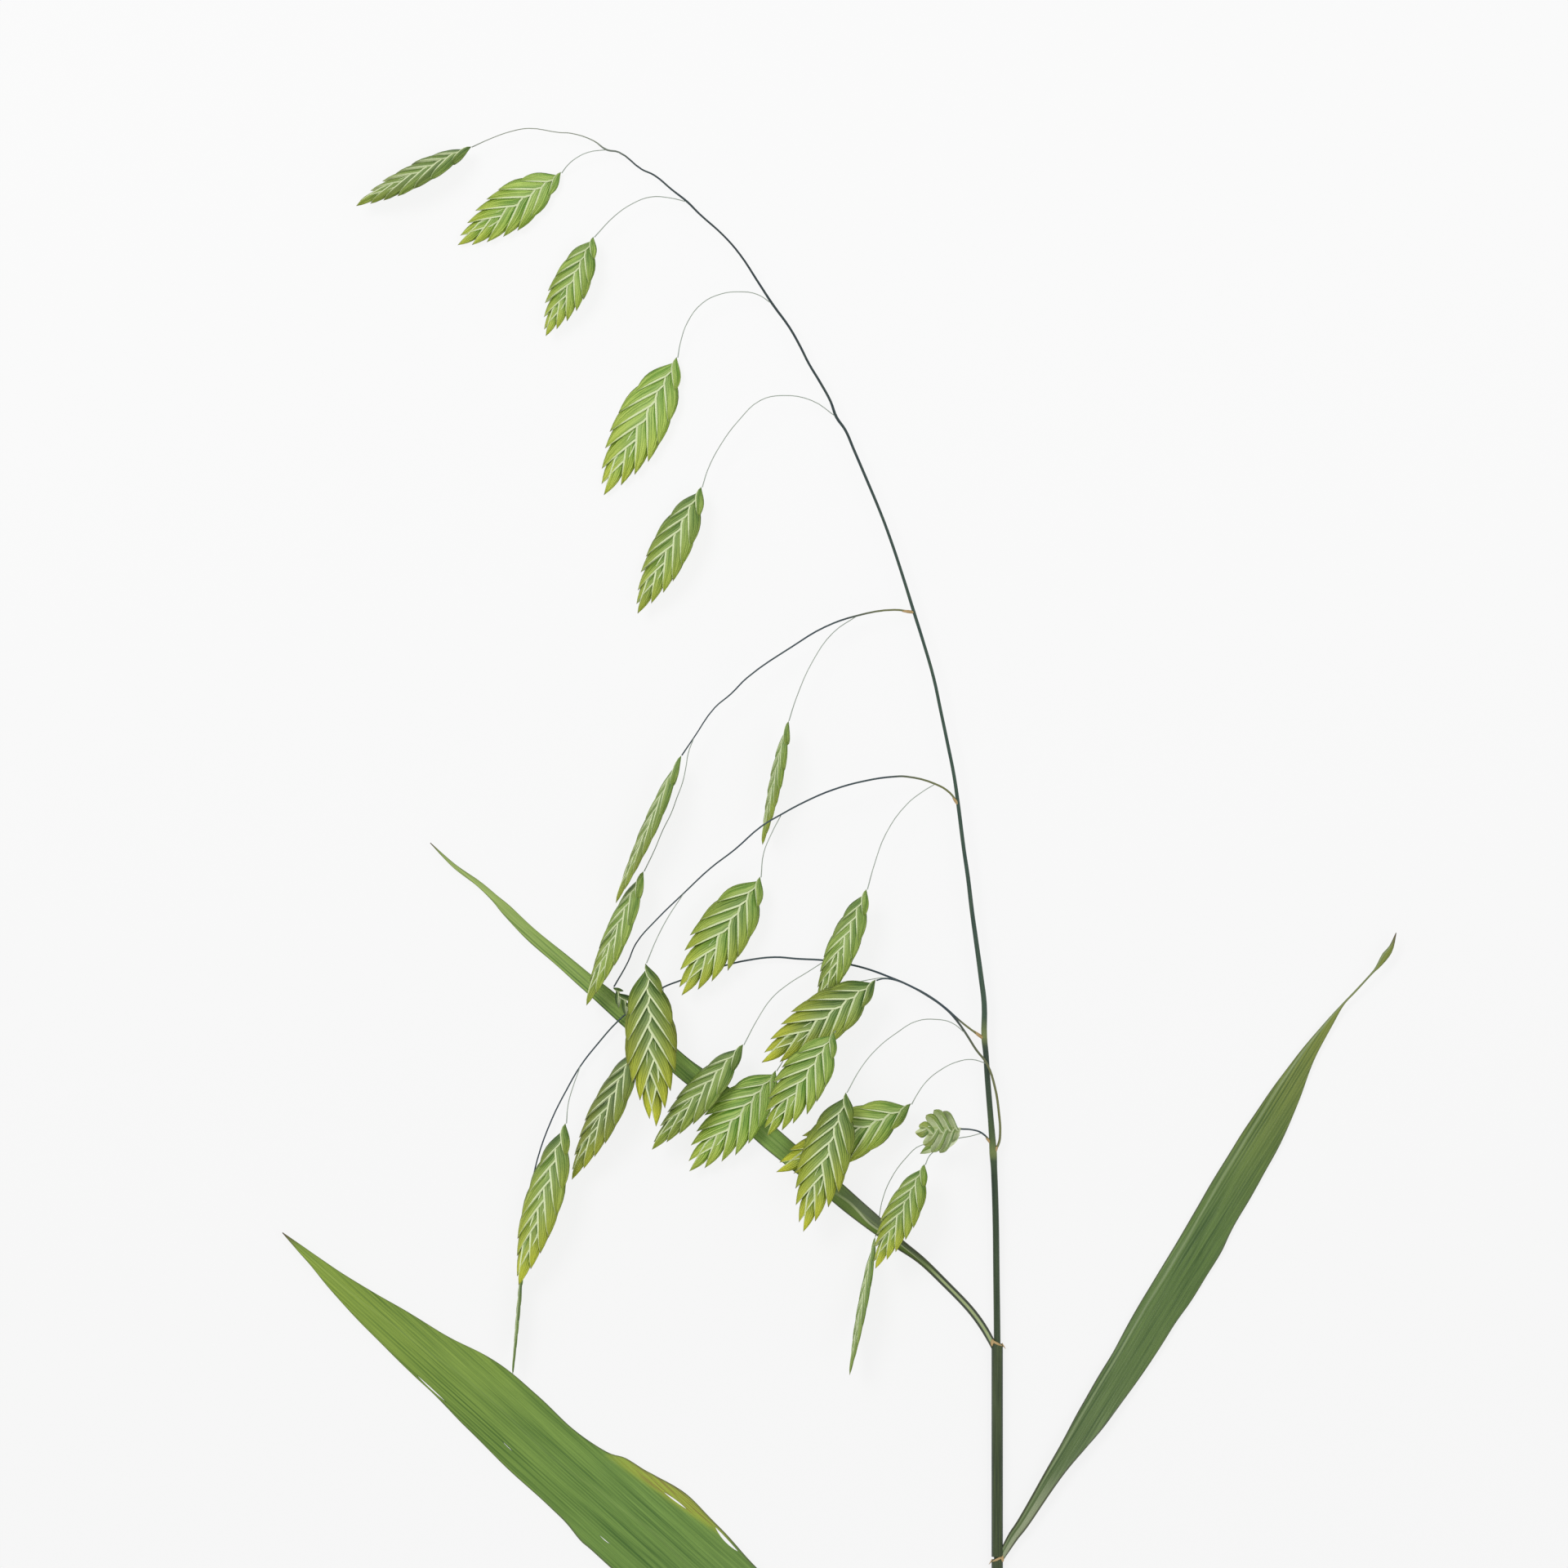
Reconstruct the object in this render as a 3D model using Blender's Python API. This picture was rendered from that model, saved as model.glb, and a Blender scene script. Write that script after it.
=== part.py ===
"""Northern sea oats: one cut flowering stem with its leaves, laid down on a surface.

Metres, +Z up. The stem lies in the XY plane with its head towards +Y, as seen from above.
Routes are chosen points: two pixels of the reference photograph and a height in millimetres.
"""

import math
import random

import bpy
from mathutils import Matrix, Vector

MM = 0.001

# Scale and place of the photograph's pixels
MM_PER_PIXEL = 0.16
CENTRE_X_PX = 1027.9
CENTRE_Y_PX = 1288.2

# Stem, sheaths and stalks, in millimetres
SURFACE_GAP = 0.3
SHEATH_OUTER_RADIUS = 1.12
SHEATH_INNER_RADIUS = 0.80
THINNEST_STALK_RADIUS = 0.25
BRANCH_RADIUS = 0.28
CULM_SIDES = 8
SHEATH_SIDES = 12
STALK_SIDES = 5
BLADE_THICKNESS = 0.6

# Spikelets, in millimetres and shares
SCALE_HALF_THICKNESS = 0.95
SCALES_PER_SPIKELET = 11
FIRST_TIP = 0.30
LAST_ROOT = 0.64
SCALE_RINGS = (0.24, 0.70)
KEEL_BULGE = (0.11, 0.10)
MARGIN_BULGE = (0.16, 0.17)
RIDGE_SHARE = (1.0, 0.75)
RIDGE_LOSS = 0.03
JITTER_SEED = 7

COLOURS = {
    "culm": (0.09, 0.16, 0.09, 1.0),
    "stalk": (0.12, 0.19, 0.13, 1.0),
    "leaf": (0.10, 0.22, 0.05, 1.0),
    "spikelet": (0.16, 0.32, 0.06, 1.0),
}
ROUGHNESS = 0.55

# The culm from its cut end to the first spikelet: x, y, height and radius
CULM_ROUTE = (
    (1221, 2420, 1.12, 0.60),
    (1221, 2395, 1.12, 0.60),
    (1221, 2280, 1.12, 0.60),
    (1221, 2276, 1.12, 0.98),
    (1221, 2266, 1.12, 0.98),
    (1221, 2262, 1.12, 0.60),
    (1221, 2090, 1.12, 0.60),
    (1221, 1908, 1.12, 0.60),
    (1221, 1905, 1.12, 0.98),
    (1221, 1897, 1.12, 0.98),
    (1221, 1894, 1.12, 0.60),
    (1221, 1780, 1.12, 0.60),
    (1221, 1650, 1.12, 0.60),
    (1220, 1560, 1.35, 0.62),
    (1219, 1487, 1.65, 0.62),
    (1217, 1430, 1.90, 0.64),
    (1216, 1412, 2.00, 0.72),
    (1215, 1396, 2.07, 0.66),
    (1213, 1370, 2.15, 0.60),
    (1209, 1320, 2.40, 0.56),
    (1207, 1290, 2.52, 0.56),
    (1205, 1270, 2.60, 0.60),
    (1205, 1230, 2.75, 0.54),
    (1201, 1196, 2.85, 0.52),
    (1195, 1152, 3.00, 0.48),
    (1190, 1116, 3.10, 0.45),
    (1185, 1074, 3.22, 0.42),
    (1180, 1040, 3.32, 0.40),
    (1173, 985, 3.50, 0.38),
    (1160, 910, 3.50, 0.34),
    (1143, 830, 3.50, 0.33),
    (1130, 785, 3.50, 0.33),
    (1119, 750, 3.50, 0.33),
    (1105, 705, 3.45, 0.31),
    (1090, 660, 3.40, 0.30),
    (1078, 628, 3.36, 0.29),
    (1060, 585, 3.30, 0.29),
    (1045, 550, 3.25, 0.28),
    (1035, 527, 3.22, 0.28),
    (1024, 511, 3.20, 0.28),
    (1017, 492, 3.17, 0.27),
    (990, 445, 3.10, 0.27),
    (980, 425, 3.07, 0.27),
    (967, 402, 3.04, 0.27),
    (946, 373, 3.00, 0.27),
    (929, 347, 2.95, 0.26),
    (906, 312, 2.90, 0.25),
    (886, 289, 2.87, 0.25),
    (842, 248, 2.80, 0.25),
    (801, 215, 2.72, 0.25),
    (758, 187, 2.62, 0.25),
    (743, 184, 2.60, 0.25),
    (727, 173, 2.70, 0.25),
    (685, 163, 2.95, 0.25),
    (648, 158, 3.12, 0.25),
    (625, 162, 3.25, 0.25),
    (600, 171, 3.35, 0.25),
    (580, 180, 3.40, 0.25),
)

# Where each leaf's sheath begins and ends along the straight foot of the culm
FLAG_SHEATH = (1892, 1645)
RIGHT_SHEATH = (2260, 1909)
LEFT_SHEATH = (2396, 2280)

# Leaf blades from collar to tip: x, y, width in pixels, height and arch in millimetres
FLAG_BLADE = (
    (1214.9, 1644, 9, 1.12, 0.0),
    (1204, 1625, 9, 1.25, -0.1),
    (1186, 1601, 8, 1.50, -0.1),
    (1157, 1571, 8, 1.80, -0.2),
    (1128, 1543, 9, 2.00, -0.2),
    (1100, 1522, 13, 2.10, -0.3),
    (1072, 1499, 20, 2.10, -0.3),
    (1045, 1477, 23, 2.00, -0.2),
    (1012, 1449, 25, 1.80, 0.0),
    (978, 1422, 26, 1.50, 0.1),
    (948, 1397, 28, 1.20, 0.2),
    (921, 1373, 28, 0.95, 0.2),
    (896, 1352, 29, 0.75, 0.2),
    (864, 1328, 28, 0.55, 0.2),
    (835, 1306, 26, 0.40, 0.2),
    (800, 1274, 24, 0.32, 0.2),
    (768, 1245, 24, 0.30, 0.2),
    (741, 1221, 23, 0.30, 0.2),
    (717, 1201, 20, 0.30, 0.2),
    (687, 1175, 18, 0.32, 0.2),
    (650, 1144, 16, 0.38, 0.2),
    (620, 1114, 13, 0.50, 0.2),
    (607, 1101, 9, 0.60, 0.1),
    (586, 1082, 7, 0.80, 0.0),
    (556, 1060, 5, 1.20, 0.0),
    (527, 1032, 2, 1.70, 0.0),
)
RIGHT_BLADE = (
    (1227.2, 1903, 9, 1.12, 0.0),
    (1240, 1882, 12, 1.60, -0.2),
    (1254, 1862, 14, 2.00, -0.3),
    (1290, 1804, 20, 2.30, -0.4),
    (1317, 1765, 29, 2.10, -0.3),
    (1338, 1734, 37, 1.70, 0.0),
    (1362, 1697, 42, 1.20, 0.2),
    (1385, 1662, 46, 0.80, 0.5),
    (1415, 1612, 50, 0.50, 0.7),
    (1434, 1583, 52, 0.40, 0.7),
    (1454, 1550, 53, 0.32, 0.7),
    (1471, 1522, 53, 0.30, 0.6),
    (1487, 1492, 51, 0.30, 0.6),
    (1523, 1431, 50, 0.30, 0.6),
    (1553, 1379, 45, 0.30, 0.5),
    (1576, 1337, 35, 0.35, 0.4),
    (1601, 1292, 20, 0.60, 0.2),
    (1628, 1252, 9, 1.00, 0.1),
    (1644, 1230, 4, 1.40, 0.0),
    (1659, 1214, 4, 1.70, 0.0),
    (1680, 1191, 4, 2.10, 0.0),
    (1687, 1183, 6, 2.20, 0.0),
    (1696, 1170, 10, 2.30, 0.0),
    (1703, 1160, 6, 2.35, 0.0),
    (1709, 1142, 3, 2.40, 0.0),
)
LEFT_BLADE = (
    (1214.9, 2290, 9, 1.12, 0.0),
    (1200, 2274, 16, 1.45, -0.3),
    (1170, 2243, 30, 2.00, -0.6),
    (1125, 2197, 50, 2.60, -0.8),
    (1070, 2142, 74, 2.60, -0.6),
    (1010, 2082, 98, 2.00, 0.2),
    (950, 2022, 116, 1.20, 1.2),
    (890, 1962, 126, 0.60, 2.0),
    (836, 1908, 129, 0.30, 2.4),
    (788, 1868, 132, 0.30, 2.4),
    (754, 1842, 124, 0.30, 2.2),
    (735, 1828, 112, 0.30, 2.0),
    (710, 1810, 97, 0.30, 1.8),
    (677, 1786, 94, 0.30, 1.8),
    (637, 1750, 91, 0.30, 1.7),
    (593, 1711, 84, 0.30, 1.5),
    (556, 1682, 76, 0.30, 1.3),
    (520, 1654, 61, 0.35, 1.0),
    (480, 1623, 50, 0.45, 0.7),
    (447, 1598, 38, 0.60, 0.5),
    (412, 1569, 25, 0.85, 0.3),
    (385, 1544, 14, 1.10, 0.1),
    (366, 1527, 8, 1.30, 0.0),
    (346, 1509, 2, 1.60, 0.0),
)

# Stalks: each route starts on the culm's centre or on its own branch, and ends at a spikelet's foot
BRANCHES = {
    "pedicel_02": (((742, 184, 2.6), (721, 187, 3.0), (706, 194, 2.8), (695, 203, 1.9), (688, 212, 1.0)),),
    "pedicel_03": (
        (
            (842, 248, 2.8), (820, 243, 3.4), (797, 242, 3.8), (775, 250, 3.8), (753, 265, 3.4),
            (728, 291, 2.8),
        ),
    ),
    "pedicel_04": (
        (
            (946, 373, 3.0), (927, 361, 3.6), (905, 358, 4.0), (882, 361, 4.1), (860, 372, 3.9),
            (842, 395, 3.0), (833, 421, 2.0), (830, 438, 1.1),
        ),
    ),
    "pedicel_05": (
        (
            (1024, 511, 3.2), (994, 491, 4.0), (958, 485, 4.6), (931, 491, 4.8), (905, 515, 4.6),
            (882, 546, 4.0), (867, 575, 3.5), (860, 597, 3.2),
        ),
    ),
    "branch_a": (
        (
            (1119, 750, 3.5), (1095, 747, 3.9), (1050, 754, 4.4), (1010, 768, 4.7), (970, 792, 4.9),
            (915, 830, 5.0), (895, 850, 5.0), (875, 867, 4.9), (850, 903, 4.6), (835, 925, 4.3),
        ),
        ((1050, 754, 4.4), (1020, 775, 4.6), (995, 810, 4.6), (975, 855, 4.4), (966, 883, 4.2)),
        (
            (850, 903, 4.6), (843, 922, 4.8), (840, 940, 4.9), (836, 958, 4.8), (829, 977, 4.7),
            (822, 996, 4.7), (812, 1016, 4.7), (802, 1040, 4.7), (789, 1067, 4.6),
        ),
    ),
    "branch_b": (
        (
            (1173, 985, 3.5), (1163, 971, 4.1), (1145, 960, 4.6), (1110, 951, 5.4), (1095, 951, 5.8),
            (1060, 956, 6.4), (1020, 967, 7.0), (985, 982, 7.4), (957, 997, 7.5), (932, 1012, 7.4),
            (900, 1040, 7.0), (870, 1063, 6.4), (838, 1093, 5.8), (804, 1126, 5.1), (779, 1155, 4.5),
            (769, 1178, 4.2), (752, 1208, 3.9),
        ),
        ((957, 997, 7.5), (945, 1020, 6.8), (935, 1045, 5.4), (932, 1074, 3.7)),
        ((838, 1093, 5.8), (820, 1120, 6.2), (805, 1148, 6.5), (792, 1179, 6.8)),
        (
            (1145, 960, 4.6), (1130, 969, 4.8), (1110, 985, 5.0), (1085, 1020, 5.2), (1070, 1060, 5.4),
            (1062, 1089, 5.4),
        ),
    ),
    "branch_c": (
        (
            (1205, 1272, 2.6), (1183, 1256, 3.9), (1171, 1246, 4.1), (1159, 1235, 4.3),
            (1134, 1217, 4.9), (1110, 1205, 5.5), (1093, 1199, 6.2), (1081, 1198, 6.7),
            (1073, 1200, 7.0),
        ),
        (
            (1093, 1199, 6.2), (1084, 1193, 7.8), (1066, 1194, 9.0), (1045, 1203, 9.2),
            (1024, 1213, 9.2), (1010, 1224, 9.2), (997, 1240, 9.1), (979, 1258, 8.9),
            (966, 1284, 8.7), (963, 1297, 8.0), (958, 1305, 6.7), (951, 1311, 5.2),
        ),
        ((1045, 1203, 9.1), (1035, 1214, 9.5), (1028, 1228, 9.8), (1024, 1242, 10.1), (1022, 1263, 10.4)),
    ),
    "branch_d": (
        (
            (1224, 1404, 2.1), (1224, 1387, 2.2), (1223, 1363, 2.6), (1218, 1331, 3.4),
            (1208, 1302, 3.9), (1195, 1285, 3.8), (1183, 1266, 3.4), (1171, 1249, 3.0),
            (1159, 1236, 2.8), (1134, 1218, 2.6), (1110, 1205, 2.4), (1091, 1197, 2.2),
            (1064, 1187, 1.8), (1041, 1181, 1.5), (1011, 1176, 1.4), (977, 1174, 1.4),
            (948, 1172, 1.4), (914, 1176, 1.4), (892, 1181, 1.4), (860, 1191, 1.4), (832, 1201, 1.4),
            (812, 1209, 1.45), (785, 1227, 1.5), (757, 1250, 1.5), (732, 1278, 1.5), (711, 1305, 1.5),
            (693, 1336, 1.5), (676, 1370, 1.5), (658, 1420, 1.5), (651, 1455, 1.5), (646, 1500, 1.7),
            (640, 1548, 2.2),
        ),
        ((711, 1305, 1.5), (702, 1330, 3.2), (696, 1352, 4.6), (694, 1375, 5.2)),
        ((812, 1209, 1.45), (812, 1228, 1.6), (806, 1250, 2.0), (797, 1269, 3.0), (783, 1280, 3.9)),
        (
            (1011, 1176, 1.4), (989, 1190, 2.2), (965, 1205, 3.0), (945, 1222, 3.6), (928, 1247, 4.2),
            (911, 1279, 4.7),
        ),
        (
            (1183, 1266, 3.4), (1165, 1252, 3.7), (1147, 1248, 4.2), (1122, 1250, 5.2),
            (1098, 1264, 6.2), (1074, 1283, 7.0), (1054, 1307, 7.5), (1037, 1337, 7.8),
        ),
        (
            (1208, 1302, 3.9), (1190, 1297, 4.0), (1171, 1300, 4.2), (1151, 1310, 4.3),
            (1134, 1324, 4.3), (1122, 1341, 4.3), (1116, 1352, 4.3),
        ),
    ),
    "branch_e": (
        ((1216, 1402, 2.0), (1202, 1387, 2.6), (1190, 1383, 2.9), (1176, 1382, 3.2)),
        (
            (1202, 1387, 2.6), (1188, 1391, 2.3), (1172, 1394, 2.3), (1155, 1402, 2.6),
            (1144, 1409, 3.6), (1137, 1416, 4.8), (1133, 1425, 6.1),
        ),
        (
            (1155, 1402, 2.6), (1128, 1402, 2.0), (1109, 1418, 1.4), (1090, 1445, 1.0),
            (1080, 1471, 0.9), (1077, 1487, 0.9), (1074, 1503, 1.2), (1072, 1514, 1.7),
        ),
    ),
}

# Only these branches start beside the culm instead of on its centre
BESIDE_THE_CULM = ("branch_d",)

# Spikelets: foot and tip (x, y, height), half width in millimetres and roll in degrees
SPIKELETS = (
    ((578, 181, 3.4), (435, 253, 3.4), 4.2, 55),
    ((688, 212, 1.0), (560, 300, 1.0), 4.45, 10),
    ((728, 291, 2.8), (668, 412, 2.8), 4.0, 25),
    ((830, 438, 1.1), (738, 607, 1.1), 5.2, 12),
    ((860, 597, 3.2), (780, 752, 3.2), 4.3, 30),
    ((835, 925, 4.3), (754, 1106, 4.3), 3.9, 70),
    ((966, 883, 4.2), (933, 1036, 4.2), 3.7, 73),
    ((789, 1067, 4.6), (718, 1231, 4.6), 3.5, 52),
    ((932, 1074, 3.7), (833, 1219, 3.7), 5.4, 5),
    ((792, 1179, 6.8), (803, 1379, 6.8), 4.9, 0),
    ((783, 1280, 3.9), (700, 1444, 3.9), 4.2, 45),
    ((911, 1279, 4.7), (798, 1407, 4.7), 4.0, 40),
    ((951, 1311, 5.2), (843, 1434, 2.4), 5.2, 3),
    ((1022, 1263, 10.4), (937, 1390, 10.4), 4.8, 10),
    ((1073, 1200, 7.0), (932, 1300, 7.0), 4.9, 8),
    ((1062, 1089, 5.4), (1000, 1235, 3.7), 3.4, 35),
    ((1037, 1337, 7.8), (982, 1508, 7.8), 4.8, 8),
    ((1116, 1352, 4.3), (948, 1434, 4.3), 4.8, 8),
    ((1176, 1382, 3.2), (1120, 1384, 25.0), 4.4, 0),
    ((1133, 1425, 6.1), (1071, 1552, 8.1), 4.0, 35),
    ((1072, 1514, 1.7), (1040, 1683, 6.2), 3.1, 80),
    ((694, 1375, 5.2), (635, 1573, 5.2), 4.1, 35),
    ((640, 1548, 2.2), (628, 1683, 3.6), 2.6, 85),
    ((752, 1208, 3.9), (788, 1256, 3.9), 2.1, 30),
)


def clear_scene():
    for found in list(bpy.data.objects):
        bpy.data.objects.remove(found, do_unlink=True)


def place(x_px, y_px, height_mm):
    """A photograph pixel and a height as a point in metres."""
    return Vector((
        (x_px - CENTRE_X_PX) * MM_PER_PIXEL * MM,
        (CENTRE_Y_PX - y_px) * MM_PER_PIXEL * MM,
        height_mm * MM,
    ))


def make_material(name, kind):
    material = bpy.data.materials.new(name)
    material.use_nodes = True
    shader = material.node_tree.nodes["Principled BSDF"]
    shader.inputs["Base Color"].default_value = COLOURS[kind]
    shader.inputs["Roughness"].default_value = ROUGHNESS
    return material


def add_object(name, points, faces):
    mesh = bpy.data.meshes.new(name)
    mesh.from_pydata([tuple(point) for point in points], [], faces)
    mesh.update()
    made = bpy.data.objects.new(name, mesh)
    bpy.context.scene.collection.objects.link(made)
    return made


def ring_frames(route):
    """At each route point, two directions across the route that don't twist along it."""
    frames = []
    across = Vector((0.0, 0.0, -1.0))
    for index, point in enumerate(route):
        before = route[max(index - 1, 0)]
        after = route[min(index + 1, len(route) - 1)]
        along = (after - before).normalized()
        across = (across - along * across.dot(along)).normalized()
        frames.append((across, along.cross(across)))
    return frames


def ring(centre, frame, radius, sides):
    turn = 2.0 * math.pi / sides
    return [
        centre + frame[0] * (radius * math.cos(turn * step)) + frame[1] * (radius * math.sin(turn * step))
        for step in range(sides)
    ]


def ring_walls(first, second, sides):
    """Quads that join two rings of points, given where each ring starts."""
    return [
        (first + step, first + (step + 1) % sides, second + (step + 1) % sides, second + step)
        for step in range(sides)
    ]


def add_tube(name, route, radii, sides):
    """A solid stalk along a route, in metres, with a flat cap at each end."""
    points = []
    faces = []
    frames = ring_frames(route)
    for centre, frame, radius in zip(route, frames, radii):
        points += ring(centre, frame, radius, sides)
    for index in range(len(route) - 1):
        faces += ring_walls(index * sides, (index + 1) * sides, sides)
    faces.append(tuple(reversed(range(sides))))
    last = (len(route) - 1) * sides
    faces.append(tuple(range(last, last + sides)))
    return add_object(name, points, faces)


def add_sheath(name, span):
    """The tube of leaf that wraps the straight foot of the culm, open at both ends."""
    low, high = span
    axis = [place(1221, low, SHEATH_OUTER_RADIUS), place(1221, high, SHEATH_OUTER_RADIUS)]
    frames = ring_frames(axis)
    sides = SHEATH_SIDES
    points = []
    for radius in (SHEATH_OUTER_RADIUS * MM, SHEATH_INNER_RADIUS * MM):
        for centre, frame in zip(axis, frames):
            points += ring(centre, frame, radius, sides)
    outer_low, outer_high, inner_low, inner_high = (sides * step for step in range(4))
    faces = ring_walls(outer_low, outer_high, sides)
    faces += ring_walls(outer_high, inner_high, sides)
    faces += ring_walls(inner_high, inner_low, sides)
    faces += ring_walls(inner_low, outer_low, sides)
    return add_object(name, points, faces)


def blade_rows(stations, columns):
    """Points across the blade at each station: straight across, with an arched middle."""
    centres = [place(x, y, 0.0) for x, y, _, _, _ in stations]
    rows = []
    for index, (_, _, width, height, arch) in enumerate(stations):
        before = centres[max(index - 1, 0)]
        after = centres[min(index + 1, len(centres) - 1)]
        along = (after - before).normalized()
        across = Vector((-along.y, along.x, 0.0))
        if index == 0:
            across = Vector((0.0, math.copysign(1.0, across.y), 0.0))
        half = width * MM_PER_PIXEL * MM / 2.0
        row = []
        for column in range(columns + 1):
            share = 2.0 * column / columns - 1.0
            lift = (height + arch * (1.0 - share * share)) * MM
            row.append(centres[index] + across * (half * share) + Vector((0.0, 0.0, lift)))
        rows.append(row)
    return rows


def add_blade(name, stations, columns=4):
    """A thin blade whose upper and lower faces share the same triangles."""
    rows = blade_rows(stations, columns)
    width = columns + 1
    half = Vector((0.0, 0.0, BLADE_THICKNESS * MM / 2.0))
    upper = [point + half for row in rows for point in row]
    lower = [point - half for row in rows for point in row]
    count = len(upper)
    faces = []
    for index in range(len(rows) - 1):
        for column in range(columns):
            a = index * width + column
            b, c, d = a + 1, a + width + 1, a + width
            faces += [(a, d, c), (a, c, b)]
            faces += [(count + a, count + c, count + d), (count + a, count + b, count + c)]
        left = index * width
        right = left + columns
        faces.append((left, count + left, count + left + width, left + width))
        faces.append((right, right + width, count + right + width, count + right))
    last = (len(rows) - 1) * width
    for column in range(columns):
        faces.append((column, column + 1, count + column + 1, count + column))
        end = last + column
        faces.append((end, count + end, count + end + 1, end + 1))
    return add_object(name, upper + lower, faces)


def connected_parts(mesh):
    """The mesh's separate bodies, each as a set of vertex numbers."""
    leader = list(range(len(mesh.vertices)))

    def find(number):
        while leader[number] != number:
            leader[number] = leader[leader[number]]
            number = leader[number]
        return number

    for edge in mesh.edges:
        leader[find(edge.vertices[0])] = find(edge.vertices[1])
    bodies = {}
    for number in range(len(leader)):
        bodies.setdefault(find(number), set()).add(number)
    return list(bodies.values())


def keep_largest_body(made):
    """Drops the loose scraps that fusing can leave, such as a sealed hollow's wall."""
    bodies = connected_parts(made.data)
    if len(bodies) < 2:
        return
    kept = max(bodies, key=len)
    renumbered = {old: new for new, old in enumerate(sorted(kept))}
    points = [made.data.vertices[old].co.copy() for old in sorted(kept)]
    faces = [
        [renumbered[number] for number in face.vertices]
        for face in made.data.polygons
        if face.vertices[0] in kept
    ]
    mesh = bpy.data.meshes.new(made.name)
    mesh.from_pydata(points, [], faces)
    mesh.update()
    made.data = mesh


def fuse(pieces):
    """Joins the pieces into the first one with a single Boolean union, and removes the others."""
    base = pieces[0]
    group = bpy.data.collections.new(base.name + "_pieces")
    bpy.context.scene.collection.children.link(group)
    for piece in pieces[1:]:
        bpy.context.scene.collection.objects.unlink(piece)
        group.objects.link(piece)
    union = base.modifiers.new("fuse", "BOOLEAN")
    union.operation = "UNION"
    union.solver = "EXACT"
    union.operand_type = "COLLECTION"
    union.collection = group
    depsgraph = bpy.context.evaluated_depsgraph_get()
    fused = bpy.data.meshes.new_from_object(base.evaluated_get(depsgraph))
    base.modifiers.clear()
    base.data = fused
    for piece in pieces[1:]:
        bpy.data.objects.remove(piece, do_unlink=True)
    bpy.data.collections.remove(group)
    keep_largest_body(base)
    return base


def finish(made, kind):
    made.data.materials.clear()
    made.data.materials.append(make_material(made.name, kind))


def build_culm():
    """The jointed stem from its cut end up through the head to the first spikelet."""
    route = [place(x, y, height) for x, y, height, _ in CULM_ROUTE]
    radii = [radius * MM for _, _, _, radius in CULM_ROUTE]
    finish(add_tube("culm", route, radii, CULM_SIDES), "culm")


def build_leaf(name, stations, sheath_span):
    blade = add_blade(name, stations)
    sheath = add_sheath(name + "_sheath", sheath_span)
    finish(fuse([sheath, blade]), "leaf")
    sheath.name = name


def culm_radius_at(y_px):
    """The culm's radius beside a branch, in millimetres."""
    nearest = min(CULM_ROUTE, key=lambda entry: abs(entry[1] - y_px))
    return nearest[3]


def cleared_start(route, distance):
    """Moves a route's first point out along its way, so that the stalk stands clear of the culm."""
    way = (route[1] - route[0]).normalized()
    return [route[0] + way * distance] + route[1:]


def shortened_end(route, gap):
    way = (route[-1] - route[-2]).normalized()
    return route[:-1] + [route[-1] - way * gap]


def angle_with_culm(route, y_px):
    """The sine of the angle between a stalk's first run and the culm beside it."""
    nearest = min(range(1, len(CULM_ROUTE) - 1), key=lambda index: abs(CULM_ROUTE[index][1] - y_px))
    above = place(*CULM_ROUTE[nearest + 1][:3])
    below = place(*CULM_ROUTE[nearest - 1][:3])
    return (above - below).normalized().cross((route[1] - route[0]).normalized()).length


def build_branch(name, routes):
    """A branch with its own pedicels, fused into one body, just clear of culm and spikelets."""
    pieces = []
    for number, pixels in enumerate(routes):
        route = [place(*point) for point in pixels]
        radius = (BRANCH_RADIUS if number == 0 else THINNEST_STALK_RADIUS) * MM
        if number == 0 and name not in BESIDE_THE_CULM:
            start_y = pixels[0][1]
            sine = angle_with_culm(route, start_y)
            reach = (culm_radius_at(start_y) + SURFACE_GAP) * MM / sine
            reach += radius * math.sqrt(1.0 - sine * sine) / sine
            route = cleared_start(route, reach)
        route = shortened_end(route, SURFACE_GAP * MM)
        tube_name = name if number == 0 else f"{name}_stalk_{number}"
        pieces.append(add_tube(tube_name, route, [radius] * len(route), STALK_SIDES))
    made = fuse(pieces) if len(pieces) > 1 else pieces[0]
    finish(made, "stalk")


def outline_share(share):
    """Half width of a spikelet at a share of its length, as a share of its widest."""
    return max(math.sin(math.pi * share ** 0.8), 0.0) ** 0.75


def scale_mesh(root, tip, side, ridge):
    """One folded scale as a wedge: thin at its keel, thick at its margins.

    The points are along the spikelet, across it and out of its face, in millimetres.
    """
    length = math.dist(root, tip)
    along = ((tip[0] - root[0]) / length, (tip[1] - root[1]) / length)
    outward = (-along[1] * side, along[0] * side)
    points = [(root[0], root[1], 0.0)]
    for place_share, keel, margin, share in zip(SCALE_RINGS, KEEL_BULGE, MARGIN_BULGE, RIDGE_SHARE):
        x = root[0] + along[0] * length * place_share
        y = root[1] + along[1] * length * place_share
        points.append((x + outward[0] * length * keel, y + outward[1] * length * keel, 0.0))
        inner_x = x - outward[0] * length * margin
        inner_y = y - outward[1] * length * margin
        points.append((inner_x, inner_y, ridge * share))
        points.append((inner_x, inner_y, -ridge * share))
    points.append((tip[0], tip[1], 0.0))
    last = len(points) - 1
    faces = []
    for step in range(3):
        after = (step + 1) % 3
        faces.append((0, 1 + step, 1 + after))
        faces.append((last, last - 3 + after, last - 3 + step))
        for first in range(1, last - 3, 3):
            faces.append((first + step, first + 3 + step, first + 3 + after, first + after))
    if side < 0:
        faces = [tuple(reversed(face)) for face in faces]
    return points, faces


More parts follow.
